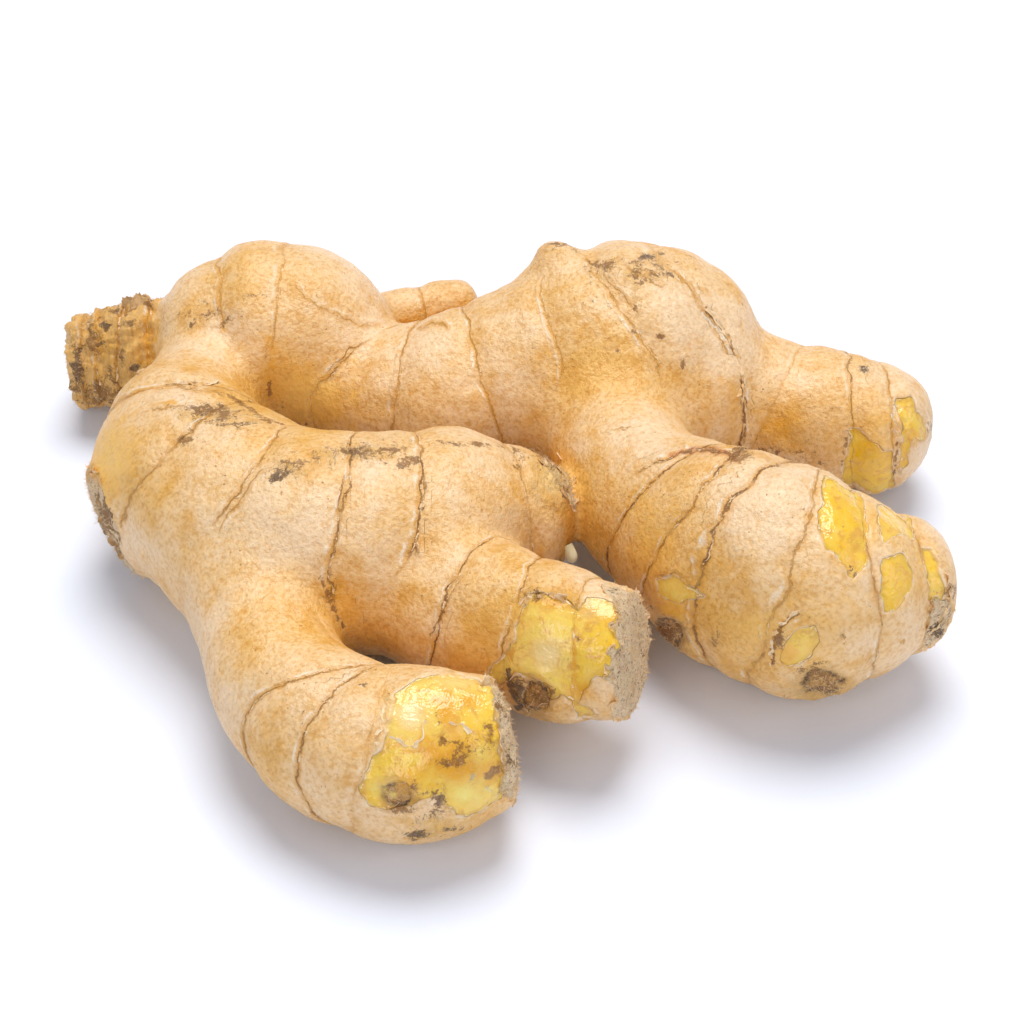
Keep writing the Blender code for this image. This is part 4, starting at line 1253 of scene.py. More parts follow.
    # stains with soft edges, among them painted shade and painted light, then flecks and threads of soil, old
    # scale and torn film, with painted highlights and painted shadow among them
    stainNoise = n.minus(n.noise(place, 2.6, 4, 0.62, 0.5), 0.5)
    stainAt = n.plus(value("stain"), n.times(stainNoise, 1.0))
    stainAt = n.times(n.rise(stainAt, 0.12, 0.95), n.rise(value("stain"), 0.03, 0.3, 0.0, 0.88))
    stainColour = n.add("ShaderNodeAttribute", {"attribute_name": "stainColour"}).outputs["Color"]
    colour = n.blend(stainAt, colour, stainColour)
    thread = n.minus(n.noise(place, 0.95, 6, 0.76, 1.2), 0.5)
    fleckAt = n.plus(n.times(value("fleck"), 0.85), n.times(n.plus(stainNoise, thread), 1.9))
    fleckAt = n.times(n.rise(fleckAt, 0.46, 0.66), n.rise(value("fleck"), 0.05, 0.35, 0.0, 0.92))
    fleckColour = n.add("ShaderNodeAttribute", {"attribute_name": "fleckColour"}).outputs["Color"]
    fleckColour = n.blend(n.rise(thread, -0.06, 0.16, 0.0, 0.45), fleckColour, finish["husk"])
    colour = n.blend(fleckAt, colour, fleckColour)

    n.feed(colour, shader.inputs["Base Color"])

    rough = n.plus(n.times(fine, 0.28), 0.27)
    rough = n.plus(rough, n.times(bare, -0.22))
    rough = n.plus(rough, n.times(n.calc("MAXIMUM", inCork, huskAt), 0.25), clamp=True)
    n.feed(rough, shader.inputs["Roughness"])
    n.feed(n.plus(n.times(bare, 0.22), 0.08), shader.inputs["Subsurface Weight"])

    # fine relief, heights in mm
    skinOnly = n.minus(1.0, n.calc("MAXIMUM", bare, inCork))
    height = n.plus(n.times(leather, 0.30), n.times(crease, 0.12))
    height = n.plus(height, n.times(n.noise(place, 2.8, 4, 0.6), 0.5))
    height = n.plus(height, n.times(n.times(streak, huskAt), 0.7))
    height = n.times(height, skinOnly)
    height = n.plus(height, n.times(n.times(fibre, inCork), 0.7))
    height = n.plus(height, n.times(n.times(n.noise(place, 3.0, 3, 0.6), bare), 0.55))
    height = n.minus(height, n.times(core, 0.22))
    height = n.plus(height, n.times(n.times(masks[1], skinOnly), 0.10))
    height = n.minus(height, n.times(bare, 0.14))
    height = n.minus(height, n.times(freckle, 0.06))
    relief = n.add("ShaderNodeBump", None, {"Strength": 1.0, "Distance": mm, "Height": height})
    n.feed(relief.outputs[0], shader.inputs["Normal"])
    return material


skinMaterial = gingerSkin()


def skinReliefTree():
    n, start, end = newGeometryTree("skinRelief", {
        "Lump Size": ("Float", skin["lumpSize"]), "Lump Height": ("Float", skin["lumpHeight"]),
        "Grain Size": ("Float", skin["grainSize"]), "Grain Height": ("Float", skin["grainHeight"]),
        "Cork Size": ("Float", skin["corkSize"]), "Cork Height": ("Float", skin["corkHeight"]),
        "Material": ("Material", None),
    })

    def swell(vector, kind, detail):
        tone = n.grainNoise(vector, start.outputs[kind + " Size"], detail)[0]
        return n.times(n.minus(tone, 0.5), n.times(start.outputs[kind + " Height"], 2.0))

    place = n.place()
    grain = n.vector("MULTIPLY", n.named("grain", "FLOAT_VECTOR"), (0.4, 1.0, 1.0))
    inCork = n.rise(n.named("cork"), -0.2, 0.6)
    onSkin = n.times(n.named("clear"), n.rise(n.named("peel"), -0.2, 0.3, 1.0, 0.1))
    creases = n.times(swell(grain, "Grain", 3.0), onSkin)
    fibres = n.times(swell(place, "Cork", 4.0), inCork)
    height = n.plus(n.plus(n.named("relief"), swell(place, "Lump", 2.0)), n.plus(creases, fibres))
    offset = n.vector("SCALE", n.add("GeometryNodeInputNormal").outputs[0], scale=n.times(height, mm))
    moved = n.moved(start.outputs[0], offset)
    above = n.add("ShaderNodeSeparateXYZ", None, {0: n.add("GeometryNodeInputPosition").outputs[0]}).outputs
    stood = n.xyz(above[0], above[1], n.calc("MAXIMUM", above[2], 0.0))
    return closeTree(n, n.moved(moved, (0, 0, 0), Position=stood), start, end)


skinFinal = grow(skinBase, "gingerSkin", skinReliefTree(), {"Material": skinMaterial})
addPiece(skinFinal, "gingerSkin", "ginger_root")


# torn papery edges along the scale lines and round the bare places

def driedScale(name, pale, mid, dark):
    material = bpy.data.materials.new(name)
    material.use_nodes = True
    n = Nodes(material.node_tree)
    shader = material.node_tree.nodes["Principled BSDF"]
    place = n.vector("SCALE", n.add("ShaderNodeTexCoord").outputs["Object"], scale=1000.0)
    tone = n.noise(place, 2.4, 5, 0.65)
    colour = n.blend(n.rise(tone, 0.36, 0.56), mid, pale)
    colour = n.blend(n.rise(n.noise(place, 1.3, 4, 0.7), 0.58, 0.72, 0.0, 0.85), colour, dark)
    n.feed(colour, shader.inputs["Base Color"])
    shader.inputs["Roughness"].default_value = 0.6
    height = n.times(n.noise(place, 0.5, 4, 0.6), 0.12)
    rough = n.add("ShaderNodeBump", None, {"Strength": 0.5, "Distance": mm, "Height": height})
    n.feed(rough.outputs[0], shader.inputs["Normal"])
    return material


scaleMaterial = driedScale("driedScale", (0.88, 0.66, 0.40, 1), (0.74, 0.44, 0.15, 1), (0.36, 0.17, 0.05, 1))
crumbMaterial = driedScale("soilCrumb", (0.66, 0.42, 0.19, 1), (0.42, 0.22, 0.08, 1), (0.16, 0.08, 0.035, 1))
filmMaterial = driedScale("tornFilm", (0.92, 0.72, 0.45, 1), (0.86, 0.58, 0.26, 1), (0.66, 0.36, 0.10, 1))


def meshValues(mesh, name):
    values = np.empty(len(mesh.vertices), np.float32)
    mesh.attributes[name].data.foreach_get("value", values)
    return values.astype(float)


def contour(mesh, value, near, least, flip=1.0):
    # the line where a value on the skin passes 0, as loose edges that carry the way out and the way across
    corners = np.array([poly.vertices[:] for poly in mesh.polygons if len(poly.vertices) == 3])
    above = value[corners] > 0
    count = above.sum(axis=1)
    keep = (count > 0) & (count < 3) & (np.abs(value[corners]) < 1.2).all(axis=1)
    keep &= (near[corners] > least).all(axis=1)
    corners, above, count = corners[keep], above[keep], count[keep]
    lone = np.where(count == 1, above.argmax(axis=1), (~above).argmax(axis=1))
    rows = np.arange(len(corners))
    a, b, c = (corners[rows, (lone + k) % 3] for k in range(3))
    points, outwards = vertexArray(mesh), vertexArray(mesh, "normal")
    e1, e2 = points[b] - points[a], points[c] - points[a]
    plane = np.cross(e1, e2)
    slopes = (value[b] - value[a])[:, None] * np.cross(e2, plane)
    slopes -= (value[c] - value[a])[:, None] * np.cross(e1, plane)
    pairs = np.sort(np.concatenate([np.stack([a, b], axis=1), np.stack([a, c], axis=1)]), axis=1)
    unique, index = np.unique(pairs, axis=0, return_inverse=True)
    index = index.reshape(-1)
    i, j = unique.T
    share = (value[i] / (value[i] - value[j]))[:, None]
    spots = points[i] * (1 - share) + points[j] * share
    normals = unit(outwards[i] * (1 - share) + outwards[j] * share)
    across = np.zeros((len(unique), 3))
    np.add.at(across, index[:len(corners)], slopes)
    np.add.at(across, index[len(corners):], slopes)
    across -= normals * (across * normals).sum(axis=1, keepdims=True)
    across = unit(across + 1e-30) * flip
    edges = np.stack([index[:len(corners)], index[len(corners):]], axis=1)
    result = bpy.data.meshes.new("contour")
    result.from_pydata(spots.tolist(), edges.tolist(), [])
    addValue(result, "outwards", normals, "FLOAT_VECTOR")
    addValue(result, "across", across, "FLOAT_VECTOR")
    addValue(result, "strength", near[i] * (1 - share[:, 0]) + near[j] * share[:, 0])
    return result


def paperEdgeTree():
    n, start, end = newGeometryTree("paperEdge", {
        "Length": ("Float", 0.6), "Lift": ("Float", 0.4), "Curl": ("Float", 0.5), "Cover": ("Float", 0.5),
        "Patch Size": ("Float", 4.0), "Ragged Size": ("Float", 0.9), "Seed": ("Float", 0.0),
        "Material": ("Material", None),
    })
    asked = start.outputs

    def noiseAt(size, extra, detail=3.0):
        place = n.vector("ADD", n.place(), n.xyz(n.plus(asked["Seed"], extra)))
        return n.grainNoise(place, asked[size], detail)[0]

    held = n.times(n.rise(noiseAt("Patch Size", 0.0), 0.3, 0.7), n.named("strength"))
    bare = n.calc("LESS_THAN", held, n.minus(1.0, asked["Cover"]))
    kept = n.add("GeometryNodeDeleteGeometry", {"domain": "POINT"}, {"Geometry": asked[0], "Selection": bare})
    ragged = n.rise(noiseAt("Ragged Size", 40.0, 4.0), 0.28, 0.72, 0.12, 1.0)
    stride = n.times(n.times(n.times(asked["Length"], ragged), mm), 0.5)
    outwards, across = n.named("outwards", "FLOAT_VECTOR"), n.named("across", "FLOAT_VECTOR")
    current, selection = n.moved(kept.outputs[0], n.vector("SCALE", outwards, scale=-0.06 * mm)), True
    forward = n.vector("SCALE", across, scale=stride)
    for lift in (n.times(asked["Lift"], 0.6), n.plus(asked["Lift"], asked["Curl"])):
        rise = n.vector("SCALE", outwards, scale=n.times(stride, lift))
        extruded = n.add("GeometryNodeExtrudeMesh", {"mode": "EDGES"}, {
            "Mesh": current, "Selection": selection, "Offset": n.vector("ADD", forward, rise),
            "Offset Scale": 1.0,
        })
        current, selection = extruded.outputs[0], extruded.outputs["Top"]
    shake = n.add("ShaderNodeTexNoise", None, {"Vector": n.place(), "Scale": 1.6, "Detail": 2.0})
    shaken = n.vector("SCALE", n.vector("SUBTRACT", shake.outputs[1], (0.5, 0.5, 0.5)), scale=0.35 * mm)
    current = n.moved(current, shaken, Selection=selection)
    flat = n.add("GeometryNodeSetShadeSmooth", None, {"Geometry": current, "Shade Smooth": False})
    return closeTree(n, flat.outputs[0], start, end)


paperEdge = paperEdgeTree()
paperThick = [("SOLIDIFY", {"thickness": 0.07 * mm, "offset": 0.0, "use_rim": True})]

paperEdges = {
    # the value whose line carries the edge, its mask, least mask and side, then the tree's settings
    "scaleEdges": ("ring", "ringNear", 0.3, 1, {
        "Length": 0.7, "Lift": 0.15, "Curl": 0.15, "Cover": 0.46,
        "Patch Size": 5.0, "Ragged Size": 0.9, "Seed": 3.0, "Material": scaleMaterial}),
    "looseEdges": ("line", "lineNear", 0.3, 1, {
        "Length": 0.6, "Lift": 0.2, "Curl": 0.3, "Cover": 0.45,
        "Patch Size": 4.0, "Ragged Size": 0.8, "Seed": 11.0, "Material": scaleMaterial}),
    "peelEdges": ("peel", None, 0.0, 1, {
        "Length": 0.65, "Lift": 0.12, "Curl": 0.2, "Cover": 0.38,
        "Patch Size": 5.0, "Ragged Size": 1.2, "Seed": 19.0, "Material": filmMaterial}),
    "corkEdges": ("cork", None, 0.0, -1, {
        "Length": 0.8, "Lift": 0.9, "Curl": 0.8, "Cover": 0.66,
        "Patch Size": 2.5, "Ragged Size": 0.5, "Seed": 27.0, "Material": scaleMaterial}),
}

for name, (key, mask, least, flip, settings) in paperEdges.items():
    near = meshValues(skinFinal, mask) if mask else np.ones(len(skinFinal.vertices))
    edge = contour(skinFinal, meshValues(skinFinal, key), near, least, flip)
    addPiece(grow(edge, name, paperEdge, settings, paperThick), name)


# fibres, hairs and crumbs

def scatterTree(name, makeShape):
    n, start, end = newGeometryTree(name, {
        "Density": ("Float", 1.0), "Size": ("Float", 1.0), "Least": ("Float", 0.4), "Lean": ("Float", 1.0),
        "Thickness": ("Float", 0.1), "Sink": ("Float", 0.05), "Seed": ("Int", 0),
        "Material": ("Material", None),
    })
    asked = start.outputs
    perMm = n.times(n.named("fray"), asked["Density"])
    spread = n.add("GeometryNodeDistributePointsOnFaces", {"distribute_method": "RANDOM"}, {
        "Mesh": asked[0], "Density": n.times(perMm, 1e6), "Seed": asked["Seed"],
    }).outputs
    lean = asked["Lean"]
    back = n.times(lean, -1.0)
    turn = n.add("FunctionNodeRandomValue", {"data_type": "FLOAT_VECTOR"}, {
        0: n.xyz(back, back, -math.pi), 1: n.xyz(lean, lean, math.pi), "Seed": asked["Seed"],
    })
    turn = n.add("FunctionNodeEulerToRotation", None, {0: turn.outputs[0]}).outputs[0]
    turned = n.add("FunctionNodeRotateRotation", {"rotation_space": "LOCAL"}, {
        "Rotation": spread["Rotation"], "Rotate By": turn,
    })
    scale = n.add("FunctionNodeRandomValue", {"data_type": "FLOAT"}, {
        2: asked["Least"], 3: 1.0, "Seed": asked["Seed"],
    })
    sink = n.vector("SCALE", spread["Normal"], scale=n.times(asked["Sink"], -mm))
    placed = n.add("GeometryNodeInstanceOnPoints", None, {
        "Points": n.moved(spread["Points"], sink), "Instance": makeShape(n, start),
        "Rotation": turned.outputs[0], "Scale": scale.outputs[1],
    })
    return closeTree(n, placed.outputs[0], start, end)


def fibreShape(n, start):
    def point(*shares):
        return n.xyz(*(n.times(start.outputs["Size"], share * mm) for share in shares))

    curve = n.add("GeometryNodeCurveQuadraticBezier", None, {
        "Resolution": 5, "Start": point(0, 0, 0), "Middle": point(0.05, 0.1, 0.6),
        "End": point(0.1, 0.55, 0.9),
    })
    radius = n.minus(1.1, n.add("GeometryNodeSplineParameter").outputs["Factor"])
    thin = n.add("GeometryNodeSetCurveRadius", None, {"Curve": curve.outputs[0], "Radius": radius})
    profile = n.add("GeometryNodeCurvePrimitiveCircle", None, {
        "Resolution": 4, "Radius": n.times(start.outputs["Thickness"], mm),
    })
    tube = n.add("GeometryNodeCurveToMesh", None, {
        "Curve": thin.outputs[0], "Profile Curve": profile.outputs[0], "Fill Caps": True,
    })
    if "Scale" in tube.inputs:
        n.feed(radius, tube.inputs["Scale"])
    return tube.outputs[0]


def crumbShape(n, start):
    size = start.outputs["Size"]
    ball = n.add("GeometryNodeMeshIcoSphere", None, {"Radius": n.times(size, mm), "Subdivisions": 1})
    noise = n.add("ShaderNodeTexNoise", None, {"Vector": n.place(), "Scale": 2.7, "Detail": 1.0})
    uneven = n.vector("SUBTRACT", noise.outputs[1], (0.5, 0.5, 0.5))
    uneven = n.vector("SCALE", uneven, scale=n.times(size, 1.3 * mm))
    rough = n.moved(ball.outputs[0], uneven)
    flat = n.add("GeometryNodeTransform", None, {"Geometry": rough, "Scale": (1.0, 0.7, 0.35)})
    return flat.outputs[0]


def frayMask(kind):
    # where fibres, hairs or crumbs stand, 0 to 1
    points = vertexArray(skinFinal)
    cork, husk, scar = (meshValues(skinFinal, key) for key in ("cork", "husk", "scar"))
    lines = np.maximum(
        meshValues(skinFinal, "ringNear") * bump(meshValues(skinFinal, "ring"), 0.6),
        meshValues(skinFinal, "lineNear") * bump(meshValues(skinFinal, "line"), 0.6),
    )
    patchy = smooth(-0.3, 0.9, wander(points, 5, 71))
    if kind == "fibres":
        mask = smooth(-0.6, 0.2, cork) + 0.5 * smooth(0.3, 0.9, husk) + 0.5 * smooth(1.1, 0.7, scar)
    elif kind == "hairs":
        mask = 0.5 * lines * patchy + 0.02
    else:
        mask = 0.5 * smooth(0.3, 0.8, husk) + 0.4 * smooth(-0.8, 0.3, cork) + 0.35 * lines * patchy + 0.012
    return np.where(points[:, 2] > 1.5 * mm, np.clip(mask, 0, 1), 0)


growths = {
    "endFibres": ("fibres", fibreShape, {
        "Density": 1.3, "Size": 1.5, "Least": 0.3, "Lean": 1.2, "Thickness": 0.07, "Seed": 5,
        "Material": scaleMaterial}),
    "lineHairs": ("hairs", fibreShape, {
        "Density": 1.2, "Size": 0.8, "Least": 0.3, "Lean": 1.3, "Thickness": 0.035, "Seed": 8,
        "Material": scaleMaterial}),
    "crumbs": ("crumbs", crumbShape, {
        "Density": 1.0, "Size": 0.30, "Least": 0.25, "Lean": 0.5, "Sink": 0.04, "Seed": 12,
        "Material": crumbMaterial}),
}

for name, (kind, shape, settings) in growths.items():
    source = skinFinal.copy()
    addValue(source, "fray", frayMask(kind))
    addPiece(grow(source, name, scatterTree(name + "Tree", shape), settings), name)


# loose pointed scales, each springing from a place seen in the photograph, and the young root tip

skinTree = BVHTree.FromPolygons(
    [vertex.co for vertex in skinFinal.vertices], [poly.vertices[:] for poly in skinFinal.polygons])


def placeOnSkin(pixel):
    spot, normal, _, _ = skinTree.ray_cast(Vector(eye), Vector(unit(rayThrough(pixel))))
    if spot is None:
        near = eye + rayThrough(pixel) * photoCamera["distance"] * mm
        spot, normal, _, _ = skinTree.find_nearest(Vector(near))
    return np.array(spot), np.array(normal)


looseScales = {
    # the pixel it springs from, its way in the picture (right, up), lift, then length, width and curl in mm
    "stubPeak": ((140, 306), (-0.15, 1.0), 0.25, 4.0, 4.6, 0.3),
    "stubPeakLow": ((128, 304), (-0.7, 0.8), 0.2, 2.6, 4.0, 0.4),
    "stubTop": ((108, 306), (-0.6, 0.7), 0.2, 2.4, 4.2, 0.4),
    "stubCorner": ((90, 325), (-1.0, 0.3), 0.2, 1.8, 3.6, 0.4),
    "stubSide": ((84, 352), (-1.0, 0.1), 0.2, 1.6, 3.8, 0.5),
    "stubLow": ((84, 388), (-0.8, -0.5), 0.2, 1.8, 3.4, 0.5),
    "leftTip": ((94, 474), (-1.0, 0.25), 0.4, 1.8, 1.8, 0.5),
    "leftSide": ((98, 500), (-1.0, -0.2), 0.3, 1.4, 2.6, 0.6),
    "leftEdge": ((102, 520), (-1.0, -0.5), 0.4, 1.5, 2.2, 0.7),
    "leftLow": ((112, 540), (-0.9, -0.8), 0.4, 1.7, 3.0, 0.5),
    "leftLower": ((122, 556), (-0.6, -1.0), 0.4, 1.5, 2.8, 0.4),
    "fingerTop": ((487, 684), (-0.2, 1.0), 0.6, 1.9, 3.0, 0.6),
    "fingerCorner": ((500, 690), (0.7, 0.8), 0.5, 1.5, 2.4, 0.5),
    "fingerSide": ((516, 715), (1.0, 0.4), 0.4, 1.2, 2.6, 0.6),
    "bodyEnd": ((560, 458), (0.9, 0.6), 0.4, 1.8, 3.2, 0.5),
    "bodyEndSide": ((572, 480), (1.0, 0.1), 0.35, 1.7, 3.2, 0.5),
    "bodyEndLow": ((576, 500), (1.0, -0.5), 0.35, 1.5, 2.8, 0.6),
    "bodyEndTop": ((540, 450), (0.7, 0.9), 0.3, 1.6, 3.0, 0.4),
    "loopTop": ((424, 486), (0.9, 0.2), 0.7, 1.3, 1.5, 1.0),
    "loopLow": ((420, 505), (0.8, -0.3), 0.7, 1.2, 1.6, 1.0),
    "loopKnot": ((417, 548), (0.7, 0.4), 0.8, 1.4, 1.8, 0.9),
    "notchScale": ((738, 392), (0.9, -0.5), 0.4, 1.5, 2.4, 0.6),
    "shoulderScale": ((846, 432), (-0.4, 0.9), 0.3, 1.3, 2.0, 0.6),
    "tipScale": ((893, 432), (0.2, 1.0), 0.4, 1.6, 1.8, 0.5),
    "tipUnder": ((872, 656), (0.2, -1.0), 0.5, 1.7, 1.4, 0.4),
    "tipUnderRight": ((902, 640), (0.5, -1.0), 0.5, 1.4, 1.5, 0.4),
    "tipRight": ((944, 612), (0.9, -0.4), 0.4, 1.4, 2.2, 0.6),
    "crownScale": ((548, 250), (-0.8, 0.6), 0.2, 1.1, 2.4, 0.3),
    "crownScaleRight": ((580, 250), (0.8, 0.4), 0.2, 1.0, 2.4, 0.3),
    "budScale": ((452, 320), (0.9, 0.6), 0.3, 1.2, 2.0, 0.5),
    "secondTop": ((560, 598), (-0.5, 1.0), 0.6, 1.5, 3.0, 0.7),
    "secondLeft": ((530, 600), (-0.9, 0.5), 0.5, 1.4, 2.6, 0.8),
    "scarScale": ((526, 708), (0.8, 0.5), 0.7, 1.6, 2.4, 0.6),
}


def looseScale(seed, pixel, heading, lift, length, width, curl):
    # a short broad scale whose free edge is torn into uneven points
    base, normal = placeOnSkin(pixel)
    way = heading[0] * lookRight + heading[1] * lookUp
    way = unit(way - normal * (way @ normal))
    side = np.cross(normal, way)
    dice = np.random.default_rng(seed)
    rows, columns = 6, 11
    torn = 0.72 + 0.28 * dice.uniform(-1, 1, columns)
    torn[1::2] *= dice.uniform(0.55, 0.9)
    across = np.linspace(-1, 1, columns)
    torn *= np.sqrt(np.maximum(1 - 0.75 * across**2, 0))
    spots = []
    for t in np.linspace(0, 1, rows):
        for s, reach in zip(across, torn):
            forward = length * t * reach
            half = width / 2 * (1 - 0.25 * t)
            up = length * (lift * t + 0.35 * curl * t * t) - 0.12 * width * s * s - 0.35
            up += dice.uniform(-0.05, 0.05)
            spots.append(base + mm * (way * (forward - 0.2) + side * s * half + normal * up))
    faces = [
        (r * columns + c, r * columns + c + 1, (r + 1) * columns + c + 1, (r + 1) * columns + c)
        for r in range(rows - 1) for c in range(columns - 1)
    ]
    return spots, faces


def looseScalesMesh():
    points, faces, brown = [], [], []
    for seed, (name, values) in enumerate(looseScales.items()):
        spots, quads = looseScale(seed + 100, *values)
        faces += [[index + len(points) for index in quad] for quad in quads]
        points += spots
        brown += [name.startswith(("stub", "left"))] * len(quads)
    mesh = bpy.data.meshes.new("looseScales")
    mesh.from_pydata([tuple(point) for point in points], [], faces)
    mesh.shade_smooth()
    mesh.materials.append(scaleMaterial)
    mesh.materials.append(crumbMaterial)
    mesh.polygons.foreach_set("material_index", [int(flag) for flag in brown])
    thick = ("SOLIDIFY", {"thickness": 0.14 * mm, "offset": 0.0})
    return meshFrom(mesh, "looseScales", [("SUBSURF", {"levels": 1, "render_levels": 1}), thick])


addPiece(looseScalesMesh(), "looseScales")

liftedEdges = {
    # the pixels of the line, the side it opens to, and how strong it is
    "filmCurl": (
        [(381, 743), (387, 741), (392, 740), (399, 744), (406, 748), (412, 748), (418, 744), (424, 734),
         (427, 722)], 1, 1.0),
    "filmEdge": ([(388, 706), (385, 716), (381, 730), (376, 750)], -1, 0.9),
    "islandEdge": ([(446, 728), (452, 724), (462, 727), (466, 735)], 1, 0.9),
    "lobeEdge": (
        [(703, 306), (714, 320), (727, 338), (736, 356), (741, 374), (743, 400), (743, 430), (739, 448)],
        1, 1.0),
    "shoulderEdge": ([(596, 437), (612, 433), (628, 429), (642, 427)], 1, 0.8),
    "cheek": ([(803, 611), (792, 618), (780, 628), (774, 642), (773, 668)], -1, 0.9),
    "bodyEndEdge": ([(512, 441), (530, 446), (548, 456), (562, 472), (571, 492), (575, 508)], -1, 1.0),
    "neckTear": ([(163, 385), (174, 383), (186, 383), (199, 386), (212, 386), (221, 381)], 1, 0.9),
    "secondTopTear": ([(520, 607), (530, 598), (544, 597), (560, 600), (574, 606)], 1, 1.0),
    "tipTear": ([(946, 572), (951, 588), (950, 604), (943, 620), (932, 634)], -1, 1.0),
    "rearTip": ([(893, 420), (897, 436), (896, 455), (896, 476)], 1, 0.8),
}


def liftedEdgesMesh(name, wanted, material):
    spots, edges, normals, across, strengths = [], [], [], [], []
    rows = [row for key, row in liftedEdges.items() if key.startswith(("film", "island")) == wanted]
    for pixels, side, strength in rows:
        corners = np.array(pixels, float)
        lengths = np.concatenate([[0], np.cumsum(np.linalg.norm(np.diff(corners, axis=0), axis=1))])
        ways = np.arange(0, lengths[-1], 1.6)
        line = np.stack([np.interp(ways, lengths, corners[:, k]) for k in (0, 1)], axis=1)
        placed = [placeOnSkin(pixel) for pixel in line]
        run = np.array([spot for spot, _ in placed])
        run += 0.22 * mm * np.stack([wander(run, 2.2, 91 + k) for k in range(3)], axis=1)
        out = np.array([normal for _, normal in placed])
        ahead = unit(np.gradient(run, axis=0))
        first = len(spots)
        spots += run.tolist()
        normals += out.tolist()
        across += (unit(np.cross(out, ahead)) * side).tolist()
        strengths += (strength * np.sin(np.linspace(0.12, 3.02, len(run))) ** 0.5).tolist()
        gaps = np.linalg.norm(np.diff(run, axis=0), axis=1)
        edges += [(first + k, first + k + 1) for k in np.flatnonzero(gaps < 1.5 * mm).tolist()]
    mesh = bpy.data.meshes.new("liftedEdges")
    mesh.from_pydata(spots, edges, [])
    addValue(mesh, "outwards", np.array(normals), "FLOAT_VECTOR")
    addValue(mesh, "across", np.array(across), "FLOAT_VECTOR")
    addValue(mesh, "strength", np.array(strengths))
    values = {
        "Length": 1.0, "Lift": 0.3, "Curl": 0.55, "Cover": 0.9,
        "Patch Size": 3.5, "Ragged Size": 1.3, "Seed": 37.0, "Material": material,
    }
    return grow(mesh, name, paperEdge, values, paperThick)


addPiece(liftedEdgesMesh("liftedEdges", False, scaleMaterial), "liftedEdges")
addPiece(liftedEdgesMesh("filmCurls", True, filmMaterial), "filmCurls")

rootTip = {
    "from": (567, 545),  # pixels
    "to": (574, 562),
    "radius": 1.45,  # mm
    "taper": 0.75,
    "rings": 12,
    "sides": 16,
    "colour": (0.90, 0.84, 0.56, 1),
}


def rootTipMesh():
    base, normal = placeOnSkin(rootTip["from"])
    depth = (base - eye) @ lookForward
    tip = eye + rayThrough(rootTip["to"]) * depth
    way = tip - base
    length = np.linalg.norm(way)
    way = way / length
    side = unit(np.cross(way, lookForward))
    up = np.cross(side, way)
    points, faces = [], []
    rings, sides = rootTip["rings"], rootTip["sides"]
    for r in range(rings + 1):
        t = r / rings
        radius = rootTip["radius"] * mm * math.sqrt(max(1 - max(t - 0.45, 0) ** 2 / 0.3025, 0))
        radius *= 1 - (1 - rootTip["taper"]) * (1 - t)
        middle = base + way * length * t * 1.05 + up * 0.5 * mm * math.sin(t * 2.2)
        for s in range(sides):
            angle = 2 * math.pi * s / sides
            wave = 1 + 0.05 * math.sin(3 * angle + 5 * t) + 0.04 * math.sin(5 * angle - 3 * t)
            points.append(middle + radius * wave * (side * math.cos(angle) + up * math.sin(angle)))
    for low in range(0, rings * sides, sides):
        for s in range(sides):
            beside = (s + 1) % sides
            faces.append((low + s, low + beside, low + sides + beside, low + sides + s))
    faces.append(list(range(rings * sides, (rings + 1) * sides)))
    mesh = bpy.data.meshes.new("rootTip")
    mesh.from_pydata([tuple(point) for point in points], [], faces)
    mesh.validate()
    mesh.shade_smooth()
    material = driedScale("rootTip", rootTip["colour"], (0.88, 0.76, 0.42, 1), (0.66, 0.50, 0.22, 1))
    mesh.materials.append(material)
    return meshFrom(mesh, "rootTip", [("SUBSURF", {"levels": 1, "render_levels": 1})])


addPiece(rootTipMesh(), "rootTip")


# the stage: a pale floor, soft light from above and behind on the left, and the photograph's view

stage = {
    "floorSize": 8.0,
    "floorColour": (0.85, 0.895, 1.0, 1),
    "keyFrom": (0.05, 0.78, 2.05),
    "keySize": 1.50,
    "keyPower": 42,
    "fillFrom": (-0.7, -2.0, 1.5),
    "fillSize": 1.6,
    "fillPower": 17.0,
    "sideFrom": (2.0, -0.9, 1.1),
    "sideSize": 1.5,
    "sidePower": 10.0,
    "worldColour": (0.84, 0.88, 1.0, 1),
    "worldStrength": 0.36,
}


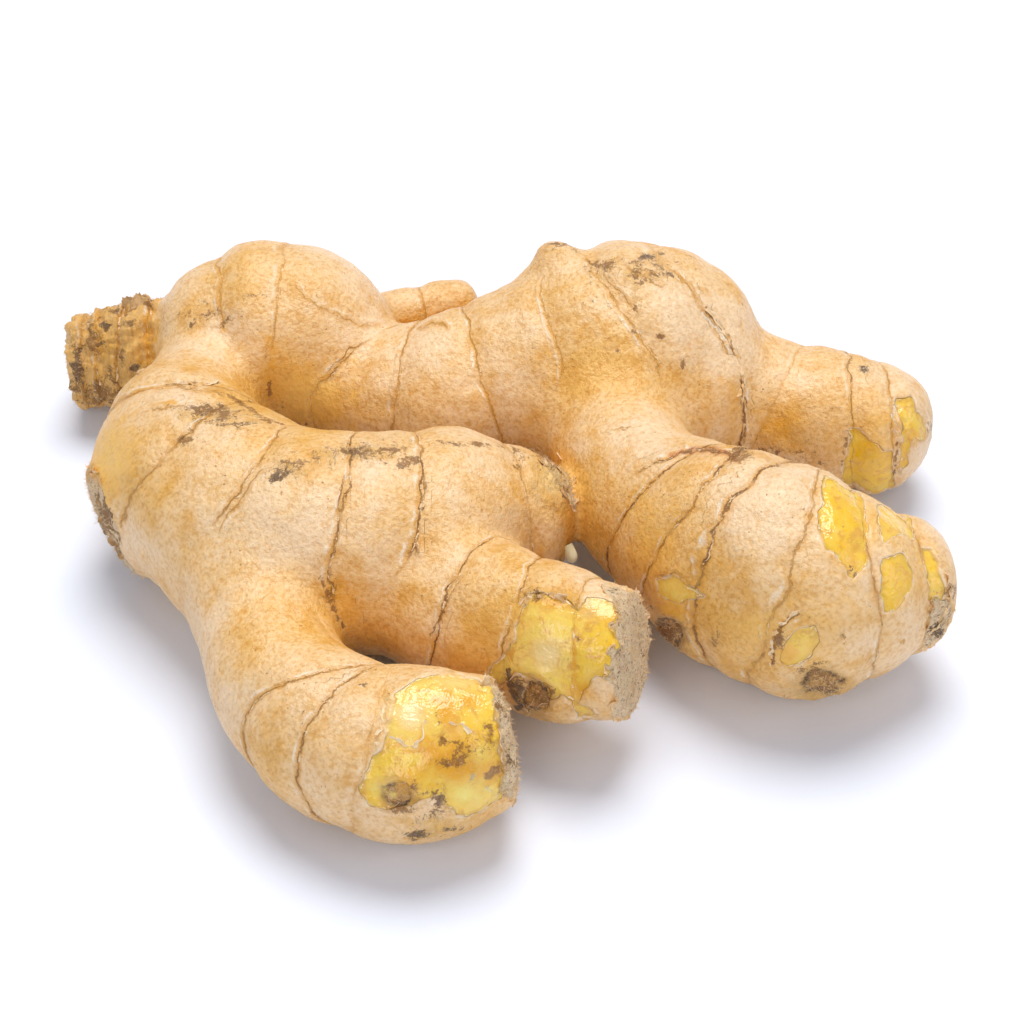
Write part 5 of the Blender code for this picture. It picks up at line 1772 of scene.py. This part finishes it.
def plainMaterial(name, colour, roughness):
    material = bpy.data.materials.new(name)
    material.use_nodes = True
    shader = material.node_tree.nodes["Principled BSDF"]
    shader.inputs["Base Color"].default_value = colour
    shader.inputs["Roughness"].default_value = roughness
    return material


def makeFloor():
    body = bmesh.new()
    bmesh.ops.create_grid(body, x_segments=2, y_segments=2, size=stage["floorSize"] / 2)
    mesh = bpy.data.meshes.new("floor")
    body.to_mesh(mesh)
    body.free()
    mesh.materials.append(plainMaterial("floorPaper", stage["floorColour"], 0.75))
    floor = bpy.data.objects.new("floor", mesh)
    bpy.context.scene.collection.objects.link(floor)


def makeLamp(name, place, size, power, colour=(1, 1, 1)):
    lamp = bpy.data.lights.new(name, "AREA")
    lamp.shape = "DISK"
    lamp.size = size
    lamp.energy = power
    lamp.color = colour
    thing = bpy.data.objects.new(name, lamp)
    thing.location = place
    thing.rotation_euler = (Vector((0, 0, 0.02)) - Vector(place)).to_track_quat("-Z", "Y").to_euler()
    bpy.context.scene.collection.objects.link(thing)


def makeWorld():
    world = bpy.data.worlds.new("studio")
    world.use_nodes = True
    shade = world.node_tree.nodes["Background"]
    shade.inputs["Color"].default_value = stage["worldColour"]
    shade.inputs["Strength"].default_value = stage["worldStrength"]
    bpy.context.scene.world = world


def makeCamera():
    camera = bpy.data.cameras.new("photoView")
    camera.lens = photoCamera["lens"]
    camera.sensor_width = photoCamera["sensor"]
    camera.clip_start = 0.01
    thing = bpy.data.objects.new("photoView", camera)
    thing.location = Vector(eye)
    thing.rotation_euler = Vector(lookForward).to_track_quat("-Z", "Y").to_euler()
    bpy.context.scene.collection.objects.link(thing)
    bpy.context.scene.camera = thing


makeFloor()
makeLamp("key", stage["keyFrom"], stage["keySize"], stage["keyPower"], (1.0, 0.985, 0.96))
makeLamp("fill", stage["fillFrom"], stage["fillSize"], stage["fillPower"])
makeLamp("side", stage["sideFrom"], stage["sideSize"], stage["sidePower"])
makeWorld()
makeCamera()
bpy.context.scene.view_settings.view_transform = "Standard"
print("stage: floor, lamps and camera are set")
